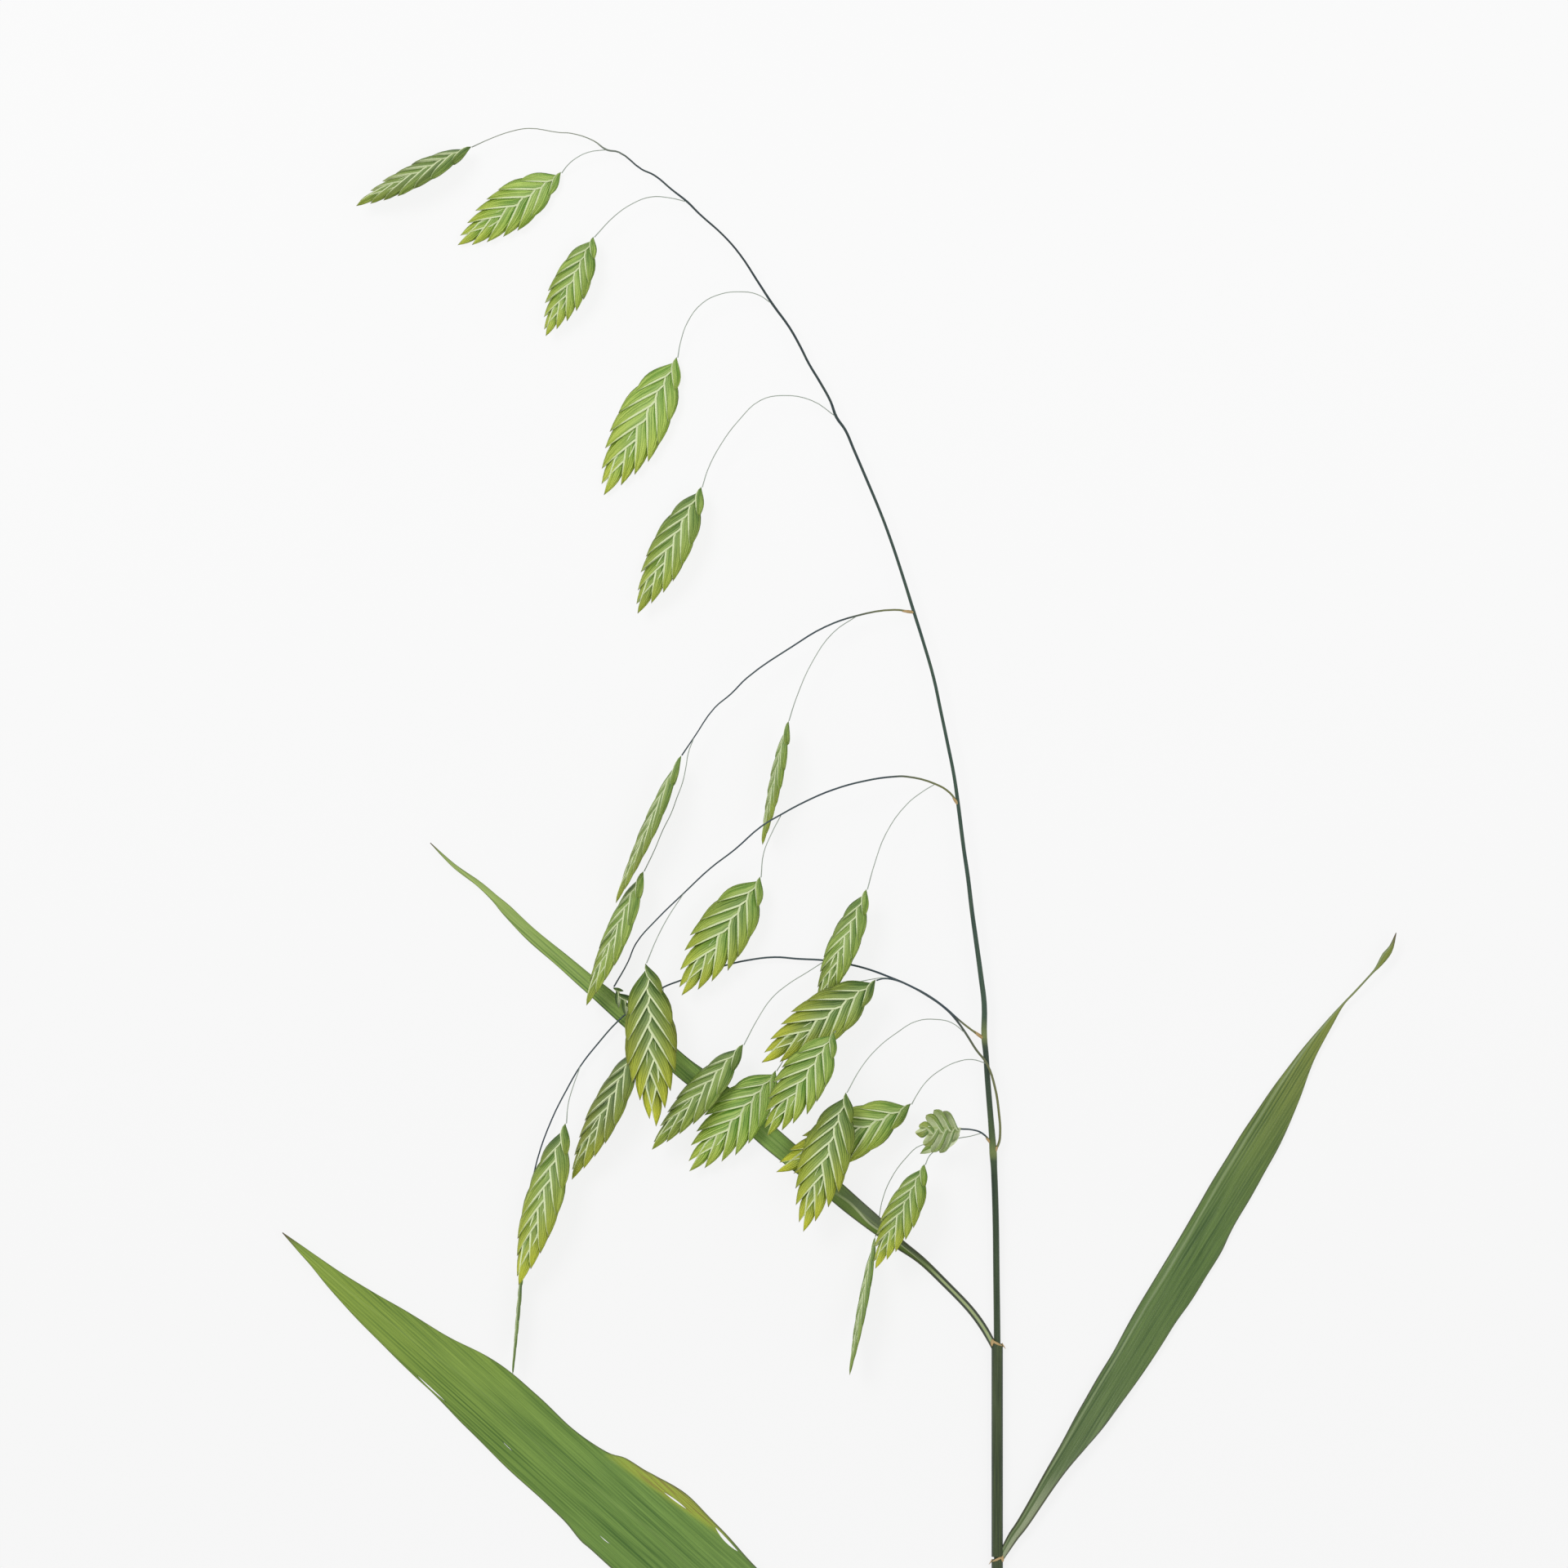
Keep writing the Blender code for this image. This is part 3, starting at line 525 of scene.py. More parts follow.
# Each blade's colour at its collar, middle and tip, and its midrib's colour and strength
BLADE_LOOKS = {
    "flag_leaf": ((88, 106, 58), (124, 156, 72), (144, 166, 90), (160, 178, 112), 0.25),
    "right_leaf": ((86, 106, 62), (86, 112, 52), (124, 134, 56), (150, 166, 122), 0.55),
    "left_leaf": ((122, 146, 80), (102, 134, 60), (126, 150, 58), (146, 168, 96), 0.15),
}


def place(x_px, y_px, height_mm):
    """A photograph pixel and a height as a point in metres."""
    return Vector((
        (x_px - CENTRE_X_PX) * MM_PER_PIXEL * MM,
        (CENTRE_Y_PX - y_px) * MM_PER_PIXEL * MM,
        height_mm * MM,
    ))


def colour(values):
    """An sRGB colour, 0 to 255, as linear values for a shader."""
    def linear(value):
        share = value / 255.0
        if share <= 0.04045:
            return share / 12.92
        return ((share + 0.055) / 1.055) ** 2.4

    return (*(linear(value) for value in values), 1.0)


def deselect_all():
    if bpy.context.object and bpy.context.object.mode != "OBJECT":
        bpy.ops.object.mode_set(mode="OBJECT")
    bpy.ops.object.select_all(action="DESELECT")


def select_only(*chosen):
    deselect_all()
    for one in chosen:
        one.select_set(True)
    bpy.context.view_layer.objects.active = chosen[0]


def named(name):
    """Names the active object and its mesh."""
    made = bpy.context.object
    made.name = name
    made.data.name = name
    return made


def apply_modifiers(made):
    select_only(made)
    for modifier in list(made.modifiers):
        bpy.ops.object.modifier_apply(modifier=modifier.name)


def smooth(made, degrees=40.0):
    select_only(made)
    bpy.ops.object.shade_smooth_by_angle(angle=math.radians(degrees))


def join(pieces, name):
    select_only(*pieces)
    if len(pieces) > 1:
        bpy.ops.object.join()
    return named(name)


def dress(made, node):
    """Says which body the piece rides on and which node it replaces."""
    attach(made, "root")
    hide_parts(node)


def keep_above_floor(made):
    """Lifts whatever would dip under the surface up to it."""
    for vertex in made.data.vertices:
        vertex.co.z = max(vertex.co.z, 0.0)


def write_attribute(made, name, values):
    """Stores one number a point, for a material to read."""
    attribute = made.data.attributes.new(name=name, type="FLOAT", domain="POINT")
    attribute.data.foreach_set("value", values)


def eased(value, low, high):
    """0 below low, 1 above high, and smooth between."""
    share = min(max((value - low) / (high - low), 0.0), 1.0)
    return share * share * (3.0 - 2.0 * share)


# Materials

def add_node(tree, kind, **settings):
    made = tree.nodes.new(kind)
    for name, value in settings.items():
        setattr(made, name, value)
    return made


def feed(tree, socket, value):
    """Links an output to a socket, or sets the socket to a plain value."""
    if isinstance(value, bpy.types.NodeSocket):
        tree.links.new(value, socket)
    else:
        socket.default_value = value


def attribute(tree, name):
    return add_node(tree, "ShaderNodeAttribute", attribute_name=name).outputs["Fac"]


def piece_axes(tree):
    """X, Y and Z on the piece, in metres."""
    split = add_node(tree, "ShaderNodeSeparateXYZ")
    tree.links.new(add_node(tree, "ShaderNodeTexCoord").outputs["Object"], split.inputs[0])
    return split.outputs["X"], split.outputs["Y"], split.outputs["Z"]


def arithmetic(tree, operation, first, second=0.0):
    made = add_node(tree, "ShaderNodeMath", operation=operation)
    feed(tree, made.inputs[0], first)
    feed(tree, made.inputs[1], second)
    return made.outputs[0]


def times(tree, first, second):
    return arithmetic(tree, "MULTIPLY", first, second)


def added(tree, first, second):
    return arithmetic(tree, "ADD", first, second)


def stepped(tree, value, low, high, result_low=0.0, result_high=1.0):
    """A smooth step between two values, from one result to another."""
    made = add_node(tree, "ShaderNodeMapRange", interpolation_type="SMOOTHSTEP")
    feed(tree, made.inputs["Value"], value)
    made.inputs["From Min"].default_value = low
    made.inputs["From Max"].default_value = high
    made.inputs["To Min"].default_value = result_low
    made.inputs["To Max"].default_value = result_high
    return made.outputs["Result"]


def blended(tree, share, first, second, blend_type="MIX"):
    """Mixes two colours. The mix node's names repeat, so its sockets go by their places."""
    made = add_node(tree, "ShaderNodeMix", data_type="RGBA", blend_type=blend_type)
    feed(tree, made.inputs[0], share)
    feed(tree, made.inputs[MIX_FIRST], first)
    feed(tree, made.inputs[MIX_SECOND], second)
    return made.outputs[MIX_RESULT]


def tinted(tree, body, factors):
    """A colour made deeper or brighter by a factor for each of red, green and blue."""
    return blended(tree, 1.0, body, (*factors, 1.0), "MULTIPLY")


def vector_of(tree, x, y, z):
    made = add_node(tree, "ShaderNodeCombineXYZ")
    for socket, value in zip(made.inputs, (x, y, z)):
        feed(tree, socket, value)
    return made.outputs[0]


def fibre_group():
    """Streaks that run along a leaf: wide soft ones and fine sharp ones, as two masks."""
    group = bpy.data.node_groups.new("plant fibres", "ShaderNodeTree")
    for name in ("Across", "Along", "Seed"):
        group.interface.new_socket(name, in_out="INPUT", socket_type="NodeSocketFloat")
    for name in FIBRE_STRETCH:
        group.interface.new_socket(name, in_out="OUTPUT", socket_type="NodeSocketFloat")
    inside = group.nodes.new("NodeGroupInput")
    outside = group.nodes.new("NodeGroupOutput")
    for name, (across, along) in FIBRE_STRETCH.items():
        way = vector_of(
            group,
            times(group, inside.outputs["Across"], across),
            times(group, inside.outputs["Along"], along),
            inside.outputs["Seed"],
        )
        noise = add_node(group, "ShaderNodeTexNoise")
        noise.inputs["Scale"].default_value = 1.0
        noise.inputs["Detail"].default_value = 3.0
        group.links.new(way, noise.inputs["Vector"])
        group.links.new(stepped(group, noise.outputs["Fac"], 0.34, 0.66), outside.inputs[name])
    return group


def fibres(tree, group, across, along, seed):
    made = add_node(tree, "ShaderNodeGroup", node_tree=group)
    feed(tree, made.inputs["Across"], across)
    feed(tree, made.inputs["Along"], along)
    feed(tree, made.inputs["Seed"], seed)
    return made.outputs["Wide"], made.outputs["Fine"]


def new_material(name, roughness, specular=0.35):
    material = bpy.data.materials.new(name)
    material.use_nodes = True
    shader = material.node_tree.nodes["Principled BSDF"]
    shader.inputs["Roughness"].default_value = roughness
    shader.inputs["Specular IOR Level"].default_value = specular
    return material, material.node_tree, shader


def add_bump(tree, shader, height, depth_mm, strength):
    bump = add_node(tree, "ShaderNodeBump")
    bump.inputs["Distance"].default_value = depth_mm * MM
    bump.inputs["Strength"].default_value = strength
    feed(tree, bump.inputs["Height"], height)
    tree.links.new(bump.outputs["Normal"], shader.inputs["Normal"])


def scale_material(group):
    """Papery green scales: dark nerves, a pale inner margin, a yellow end and a brown point."""
    material, tree, shader = new_material("scale", 0.5)
    inner = attribute(tree, "inner")
    along = attribute(tree, "along")
    seed = times(tree, attribute(tree, "draw"), 40.0)
    wide, fine = fibres(tree, group, times(tree, inner, 5.0), times(tree, along, 1.4), seed)
    shaded = blended(tree, wide, colour(SHADED_SCALE), colour(SHADED_STREAK))
    sunlit = blended(tree, wide, colour(SUNLIT_SCALE), colour(SUNLIT_STREAK))
    body = blended(tree, attribute(tree, "tone"), shaded, sunlit)
    # Lighter towards each scale's margin and root: partly pale thin tissue, partly painted sheen, leaving
    # painted shade beside the scale that overlaps it
    to_root = stepped(tree, along, 0.2, 0.95, 0.55, 0.1)
    pale_and_sheen = times(tree, stepped(tree, inner, 0.35, 1.0), to_root)
    body = blended(tree, pale_and_sheen, body, colour(SCALE_PALE_AND_SHEEN))
    ripe = times(tree, stepped(tree, along, 0.25, 0.95), attribute(tree, "age"))
    body = blended(tree, ripe, body, colour(RIPE_YELLOW))
    ribs = arithmetic(tree, "SINE", times(tree, inner, 40.0))
    patchy = added(tree, times(tree, fine, 0.6), times(tree, wide, -0.35))
    nerve = times(tree, stepped(tree, ribs, -0.2, 1.0), stepped(tree, patchy, -0.35, 0.6, 0.15, 1.0))
    body = blended(tree, nerve, body, tinted(tree, body, NERVE_TINT))
    # Pale keel edge: partly its own pale hairs, partly a painted highlight
    body = blended(tree, stepped(tree, inner, 0.0, 0.07, 0.5, 0.0), body, colour(KEEL_PALE_AND_HIGHLIGHT))
    rough_inner = added(tree, inner, times(tree, fine, 0.03))
    to_tip = stepped(tree, along, 0.60, 0.98, 0.92, 0.35)
    margin = times(tree, stepped(tree, rough_inner, 0.86, 0.93), to_tip)
    body = blended(tree, margin, body, colour(MARGIN_CREAM))
    body = blended(tree, stepped(tree, along, 0.95, 1.0, 0.0, 0.8), body, colour(POINT_BROWN))
    tree.links.new(body, shader.inputs["Base Color"])
    add_bump(tree, shader, added(tree, ribs, fine), 0.05, 0.7)
    return material


def folded_foot(tree, body, along):
    """The flag blade's narrow foot: a channel with a pale middle and painted shade on its sides, then a
    fold with a pale edge.
    """
    side = attribute(tree, "side")
    waver = times(tree, arithmetic(tree, "SINE", times(tree, along, 75.0)), 0.10)
    past_fold = arithmetic(tree, "SUBTRACT", added(tree, side, waver), 0.58)
    far_side = stepped(tree, past_fold, -0.02, 0.02)
    flaps = blended(tree, far_side, colour(FLAP_GREY), colour(FLAP_GREEN))
    line = stepped(tree, arithmetic(tree, "ABSOLUTE", past_fold), 0.03, 0.09, 0.85, 0.0)
    flaps = blended(tree, line, flaps, colour(FOLD_LINE))
    window = times(tree, stepped(tree, along, 0.13, 0.17), stepped(tree, along, 0.24, 0.33, 1.0, 0.0))
    body = blended(tree, times(tree, window, 0.9), body, flaps)
    # Painted shade: the channel's sides darken as if they curved away from the light
    from_middle = arithmetic(tree, "ABSOLUTE", arithmetic(tree, "SUBTRACT", side, 0.5))
    to_side = stepped(tree, from_middle, 0.16, 0.34)
    channel = blended(tree, to_side, colour(CHANNEL_PALE), colour(CHANNEL_PAINTED_SHADE))
    return blended(tree, stepped(tree, along, 0.11, 0.15, 1.0, 0.0), body, channel)


def blade_material(group, leaf):
    """A ribbed blade: streaks and veins along it, a faint midrib and a thin dark edge."""
    foot, middle, tip, rib, rib_strength = BLADE_LOOKS[leaf]
    material, tree, shader = new_material(leaf + "_blade", 0.45)
    across = attribute(tree, "across")
    along = attribute(tree, "along")
    wide, fine = fibres(tree, group, times(tree, across, 0.55), times(tree, along, 5.0), 3.0)
    hair, _ = fibres(tree, group, times(tree, across, 6.0), times(tree, along, 16.0), 9.0)
    body = blended(tree, stepped(tree, along, 0.05, 0.5), colour(foot), colour(middle))
    body = blended(tree, stepped(tree, along, 0.5, 0.98), body, colour(tip))
    dark = tinted(tree, body, DARK_STREAK_TINT)
    bright = tinted(tree, body, BRIGHT_STREAK_TINT)
    body = blended(tree, wide, dark, body)
    body = blended(tree, times(tree, fine, 0.60), body, bright)
    vein = arithmetic(tree, "SINE", times(tree, across, 11.0))
    vein = times(tree, stepped(tree, vein, 0.0, 1.0), hair)
    body = blended(tree, times(tree, vein, 0.75), body, bright)
    body = blended(tree, times(tree, hair, 0.40), body, dark)
    if leaf == "flag_leaf":
        body = folded_foot(tree, body, along)
    if leaf == "right_leaf":
        left_half = stepped(tree, attribute(tree, "side"), 0.50, 0.62, 0.85, 0.0)
        turned = times(tree, left_half, stepped(tree, along, 0.07, 0.16, 1.0, 0.0))
        body = blended(tree, turned, body, colour(TURNED_FACE))
    body = blended(tree, times(tree, attribute(tree, "midrib"), rib_strength), body, colour(rib))
    worn = attribute(tree, "worn")
    body = blended(tree, times(tree, worn, 0.9), body, colour(WORN_YELLOW))
    spot = times(tree, stepped(tree, hair, 0.5, 0.8), stepped(tree, worn, 0.6, 1.0, 0.0, 0.7))
    body = blended(tree, spot, body, colour(WORN_SPOT))
    edge = times(tree, attribute(tree, "edge"), stepped(tree, along, 0.5, 0.9, 0.85, 0.4))
    body = blended(tree, edge, body, colour(BLADE_EDGE))
    body = blended(tree, stepped(tree, along, 0.975, 1.0), body, colour(DRY_TIP))
    tree.links.new(body, shader.inputs["Base Color"])
    add_bump(tree, shader, added(tree, vein, fine), 0.06, 0.6)
    return material


def stem_material(group):
    """The culm: green at its foot, slate green in the head, with pale joints."""
    material, tree, shader = new_material("stem", 0.42)
    x, y, _ = piece_axes(tree)
    height = add_node(tree, "ShaderNodeMapRange")
    tree.links.new(y, height.inputs["Value"])
    low, high = (place(0, y_px, 0).y for y_px in STEM_RAMP_PX)
    height.inputs["From Min"].default_value = low
    height.inputs["From Max"].default_value = high
    ramp = add_node(tree, "ShaderNodeValToRGB")
    tree.links.new(height.outputs["Result"], ramp.inputs["Fac"])
    elements = ramp.color_ramp.elements
    while len(elements) < len(STEM_STOPS):
        elements.new(0.5)
    for element, (where, values) in zip(elements, STEM_STOPS):
        element.position = where
        element.color = colour(values)
    wide, fine = fibres(tree, group, times(tree, x, 9000.0), times(tree, y, 90.0), 5.0)
    body = blended(tree, times(tree, wide, 0.22), ramp.outputs["Color"], colour(STEM_STREAK))
    tree.links.new(body, shader.inputs["Base Color"])
    add_bump(tree, shader, fine, 0.03, 0.6)
    return material


def sheath_material(group):
    """The sheath: olive green with fine ribs, and a painted blue-grey reflection along its sides."""
    material, tree, shader = new_material("sheath", 0.42)
    x, y, z = piece_axes(tree)
    wide, fine = fibres(tree, group, times(tree, x, 6000.0), times(tree, y, 80.0), 8.0)
    body = blended(tree, wide, colour(SHEATH_DARK), colour(SHEATH_LIGHT))
    # Painted reflection: blue-grey on the low sides of the tube, fading out towards its top
    to_side = stepped(tree, times(tree, z, 1000.0), 1.2, 2.05, 0.85, 0.0)
    body = blended(tree, to_side, body, colour(SHEATH_SIDE_REFLECTION))
    tree.links.new(body, shader.inputs["Base Color"])
    add_bump(tree, shader, fine, 0.04, 0.6)
    return material


def plain_material(name, values, roughness, group):
    """A plain plant skin with a faint lighter streak in it."""
    material, tree, shader = new_material(name, roughness)
    x, y, _ = piece_axes(tree)
    wide, _ = fibres(tree, group, times(tree, x, 400.0), times(tree, y, 400.0), 2.0)
    light = colour([min(value + PLAIN_STREAK_GAIN, 255) for value in values])
    body = blended(tree, times(tree, wide, 0.3), colour(values), light)
    tree.links.new(body, shader.inputs["Base Color"])
    return material


def stalk_material(group):
    """A branch's main stalk: olive by the culm, and dark slate further out."""
    material, tree, shader = new_material("slate_stalk", 0.45)
    reach = attribute(tree, "reach")
    wide, _ = fibres(tree, group, 1.0, times(tree, reach, 14.0), 6.0)
    body = blended(tree, stepped(tree, reach, 0.10, 0.30), colour(STALK_FOOT), colour(STALK_SLATE))
    body = blended(tree, times(tree, wide, 0.25), body, colour(STALK_STREAK))
    tree.links.new(body, shader.inputs["Base Color"])
    return material


def floor_material():
    """A white floor that glows a little less towards the foot of the picture."""
    material, tree, shader = new_material("floor", 0.9, 0.1)
    shader.inputs["Base Color"].default_value = (FLOOR_WHITE, FLOOR_WHITE, FLOOR_WHITE, 1.0)
    _, y, _ = piece_axes(tree)
    glow = stepped(tree, y, -0.10, 0.20, 0.968, 1.0)
    tree.links.new(vector_of(tree, glow, glow, glow), shader.inputs["Emission Color"])
    shader.inputs["Emission Strength"].default_value = FLOOR_GLOW
    return material


# Stalks

def add_stalk(name, pixels, radii, material):
    """A smooth thread through the route's points, with a radius at each, as a closed mesh."""
    route = [place(*point[:3]) for point in pixels]
    deselect_all()
    bpy.ops.curve.primitive_bezier_curve_add(radius=1.0, location=(0.0, 0.0, 0.0))
    made = named(name)
    thread = made.data
    thread.dimensions = "3D"
    thread.bevel_depth = 1.0
    thread.bevel_resolution = 2
    spline = thread.splines[0]
    spline.resolution_u = STEPS_PER_POINT
    spline.bezier_points.add(len(route) - len(spline.bezier_points))
    for knot, point, radius in zip(spline.bezier_points, route, radii):
        knot.co = point
        knot.radius = radius * MM
        knot.handle_left_type = "AUTO"
        knot.handle_right_type = "AUTO"
    select_only(made)
    bpy.ops.object.convert(target="MESH")
    made = named(name)
    bpy.ops.object.mode_set(mode="EDIT")
    bpy.ops.mesh.select_all(action="SELECT")
    bpy.ops.mesh.fill_holes(sides=0)
    bpy.ops.mesh.normals_make_consistent(inside=False)
    bpy.ops.object.mode_set(mode="OBJECT")
    made.data.materials.clear()
    made.data.materials.append(material)
    rings = (len(route) - 1) * STEPS_PER_POINT + 1
    around = len(made.data.vertices) // rings
    reach = [(index // around) / (rings - 1) for index in range(len(made.data.vertices))]
    write_attribute(made, "reach", reach)
    smooth(made, 60.0)
    return made


def faded(first, last, count):
    """Values that change evenly from the first to the last."""
    return [first + (last - first) * step / (count - 1) for step in range(count)]


def build_culm(stem):
    radii = [radius for _, _, _, radius in CULM_ROUTE]
    made = add_stalk("culm_skin", CULM_ROUTE, radii, stem)
    dress(made, "culm")


def build_branches(slate, pale, tan):
    """Each branch: a slate main stalk with a tan foot, and pale hair-thin pedicels."""
    for name, routes in BRANCHES.items():
        pieces = []
        for number, pixels in enumerate(routes):
            count = len(pixels)
            main_stalk = number == 0 and name in MAIN_RADII
            radii = faded(*MAIN_RADII[name], count) if main_stalk else [PEDICEL_RADIUS] * count
            radii[-1] *= PEDICEL_FLARE
            skin = slate if main_stalk else pale
            pieces.append(add_stalk(f"{name}_thread_{number}", pixels, radii, skin))
        if name in MAIN_RADII:
            first = Vector(routes[0][0])
            second = Vector(routes[0][1])
            foot = [tuple(first.lerp(second, share)) for share in FOOT_SHARES]
            radii = [MAIN_RADII[name][0] * swell for swell in FOOT_SWELL]
            pieces.append(add_stalk(name + "_foot", foot, radii, tan))
        made = join(pieces, name + "_skin")
        dress(made, name)


# Leaves

def along_stations(stations, share):
    """The blade's centre, width, height and arch at a share of its length, on a smooth curve."""
    points = [place(x, y, 0.0) for x, y, _, _, _ in stations]
    lengths = [0.0]
    for before, after in zip(points, points[1:]):
        lengths.append(lengths[-1] + (after - before).length)
    target = share * lengths[-1]
    index = 0
    while index < len(points) - 2 and lengths[index + 1] < target:
        index += 1
    local = (target - lengths[index]) / (lengths[index + 1] - lengths[index])

    def between(values):
        before = values[max(index - 1, 0)]
        first = values[index]
        second = values[index + 1]
        after = values[min(index + 2, len(values) - 1)]
        square = local * local
        cube = square * local
        return (
            first * 2.0
            + (second - before) * local
            + (before * 2.0 - first * 5.0 + second * 4.0 - after) * square
            + (first * 3.0 - before - second * 3.0 + after) * cube
        ) * 0.5

    centre = between(points)
    width = between([station[2] for station in stations])
    height = between([station[3] for station in stations])
    arch = between([station[4] for station in stations])
    return centre, max(width, NARROWEST_PX), height, arch


def edge_waver(share, side):
    """How far a margin strays from its smooth line, as a share of the blade's half width."""
    phase = 1.7 * side
    return EDGE_STRAY * (math.sin(31.0 * share + phase) + math.sin(83.0 * share + 2.0 * phase))


def distance_to_line(point, first, second):
    """How far a point lies to the left of a line, and where along it, as a share."""
    way = second - first
    offset = point - first
    left = (way.x * offset.y - way.y * offset.x) / way.length
    return left, offset.dot(way) / way.length_squared


def blade_point(leaf, across, along, across_cells):
    """One point of the blade's surface, with its midrib and edge values."""
    stations = BLADES[leaf]
    centre, width, height, arch = along_stations(stations, along)
    ahead = along_stations(stations, min(along + LOOK_AHEAD, 1.0))[0]
    behind = along_stations(stations, max(along - LOOK_AHEAD, 0.0))[0]
    if leaf == "left_leaf":
        behind, ahead = (place(*end, 0.0) for end in VEIN_LINES[leaf])
    way = (ahead - behind).normalized()
    side_way = Vector((-way.y, way.x, 0.0))
    side = 2.0 * across - 1.0
    half = width * MM_PER_PIXEL * MM / 2.0
    spread = half * side * (1.0 + edge_waver(along, math.copysign(1.0, side)) * abs(side))
    room = eased(width, *RIBBED_PX)
    midrib = 1.0 - eased(abs(across - MIDRIB_PLACE[leaf]) * width, *MIDRIB_PX)
    rise = height + arch * (1.0 - side * side)
    flutter = 1.0 + math.sin(44.0 * along + 2.4 * side)
    rise += FLUTTER_HEIGHT * room * abs(side) ** 3 * flutter
    rise += RIB_HEIGHT * room * math.cos(across * across_cells * math.pi)
    rise += MIDRIB_HEIGHT * midrib * room
    edge = 1.0 - eased((1.0 - abs(side)) * width / 2.0, *EDGE_PX)
    return centre + side_way * spread + Vector((0.0, 0.0, rise * MM)), midrib, edge


def open_slits(made, columns):
    """Moves one line of the grid's points aside along each slit, and marks the faces between."""
    vertices = made.data.vertices
    torn = set()
    for first_px, second_px, widest in SLITS:
        ends = [place(*end, 0.0) for end in (first_px, second_px)]
        spots = []
        for end in ends:
            distances = [(flat_distance(vertex.co, end), vertex.index) for vertex in vertices]
            index = min(distances)[1]
            spots.append((index // columns, index % columns))
        column = min(max(round((spots[0][1] + spots[1][1]) / 2), 1), columns - 3)
        low, high = sorted((spots[0][0], spots[1][0]))
        high = max(high, low + 2)
        for row in range(low, high + 1):
            share = (row - low) / (high - low)
            here = vertices[row * columns + column]
            beside = vertices[row * columns + column + 1]
            gap = (SLIT_END_MM + widest * math.sin(math.pi * share) ** 0.8) * MM
            beside.co = here.co + (beside.co - here.co).normalized() * gap
            if row < high:
                torn.add((row, column))
    return torn


def flat_distance(point, other):
    return math.hypot(point.x - other.x, point.y - other.y)


def cut_slits(made, torn, columns):
    """Deletes the marked faces."""
    select_only(made)
    bpy.ops.object.mode_set(mode="EDIT")
    bpy.ops.mesh.select_all(action="DESELECT")
    bpy.ops.object.mode_set(mode="OBJECT")
    for face in made.data.polygons:
        corner = min(face.vertices)
        face.select = (corner // columns, corner % columns) in torn
    bpy.ops.object.mode_set(mode="EDIT")
    bpy.ops.mesh.select_mode(type="FACE")
    bpy.ops.mesh.delete(type="FACE")
    bpy.ops.object.mode_set(mode="OBJECT")


def shape_blade(made, leaf, across_cells):
    """Moves each point of the grid to its place on the leaf, and writes what the material reads."""
    columns = across_cells + 1
    along_values, midrib_values, edge_values, sides = [], [], [], []
    for vertex in made.data.vertices:
        across = vertex.co.x + 0.5
        along = vertex.co.y + 0.5
        point, midrib, edge = blade_point(leaf, across, along, across_cells)
        vertex.co = point
        along_values.append(along)
        midrib_values.append(midrib)
        edge_values.append(edge)
        sides.append(across)
    torn = open_slits(made, columns) if leaf == "left_leaf" else set()
    first, second = (place(*end, 0.0) for end in VEIN_LINES[leaf])
    across_values, worn_values = [], []
    worn_first, worn_second = (place(*end, 0.0) for end in WORN_ENDS)
    for vertex, across in zip(made.data.vertices, sides):
        across_values.append(distance_to_line(vertex.co, first, second)[0] / MM)
        worn = 0.0
        if leaf == "left_leaf":
            left, share = distance_to_line(vertex.co, worn_first, worn_second)
            span = math.sin(math.pi * share) if 0.0 < share < 1.0 else 0.0
            worn = span ** 0.35 * eased(left / MM, WORN_FROM_MM, WORN_FULL_MM)
        worn_values.append(worn)
    for name, values in (
        ("across", across_values), ("along", along_values), ("side", sides),
        ("midrib", midrib_values), ("edge", edge_values), ("worn", worn_values),
    ):
        write_attribute(made, name, values)
    if torn:
        cut_slits(made, torn, columns)


def add_blade(leaf, material):
    across_cells, along_cells = BLADE_CELLS[leaf]
    deselect_all()
    bpy.ops.mesh.primitive_grid_add(x_subdivisions=across_cells, y_subdivisions=along_cells, size=1.0)
    made = named(leaf + "_blade")
    shape_blade(made, leaf, across_cells)
    select_only(made)
    bpy.ops.object.mode_set(mode="EDIT")
    bpy.ops.mesh.select_all(action="SELECT")
    bpy.ops.mesh.normals_make_consistent(inside=False)
    bpy.ops.object.mode_set(mode="OBJECT")
    wall = made.modifiers.new("thickness", "SOLIDIFY")
    wall.thickness = BLADE_THICKNESS * MM
    wall.offset = 0.0
    apply_modifiers(made)
    made.data.materials.append(material)
    smooth(made, 60.0)
    return made


def add_sheath(leaf, skin, tan):
    """The rolled sheath with a bevelled lip, and the tan collar where the blade leaves it."""
    low, high = SHEATHS[leaf]
    bottom = place(SHEATH_X_PX, low, SHEATH_RADIUS)
    top = place(SHEATH_X_PX, high, SHEATH_RADIUS)
    deselect_all()
    bpy.ops.mesh.primitive_cylinder_add(
        vertices=40, radius=SHEATH_RADIUS * MM, depth=(top - bottom).length,
        end_fill_type="NOTHING", location=(bottom + top) / 2.0, rotation=(-math.pi / 2.0, 0.0, 0.0),
    )
    tube = named(leaf + "_sheath")
    bpy.ops.object.transform_apply(location=True, rotation=True, scale=True)
    wall = tube.modifiers.new("wall", "SOLIDIFY")
    wall.thickness = SHEATH_WALL * MM
    wall.offset = -1.0
    bevel = tube.modifiers.new("lip", "BEVEL")
    bevel.width = LIP_MM * MM
    bevel.segments = 2
    apply_modifiers(tube)
    tube.data.materials.append(skin)
    smooth(tube)
    return [tube] + add_collar(leaf, top, tan)


def beside_mouth(place_mm, side):
    """An offset from the sheath's mouth, in metres, mirrored for a collar on the left."""
    x, y, z = place_mm
    return Vector((side * x, y, z)) * MM


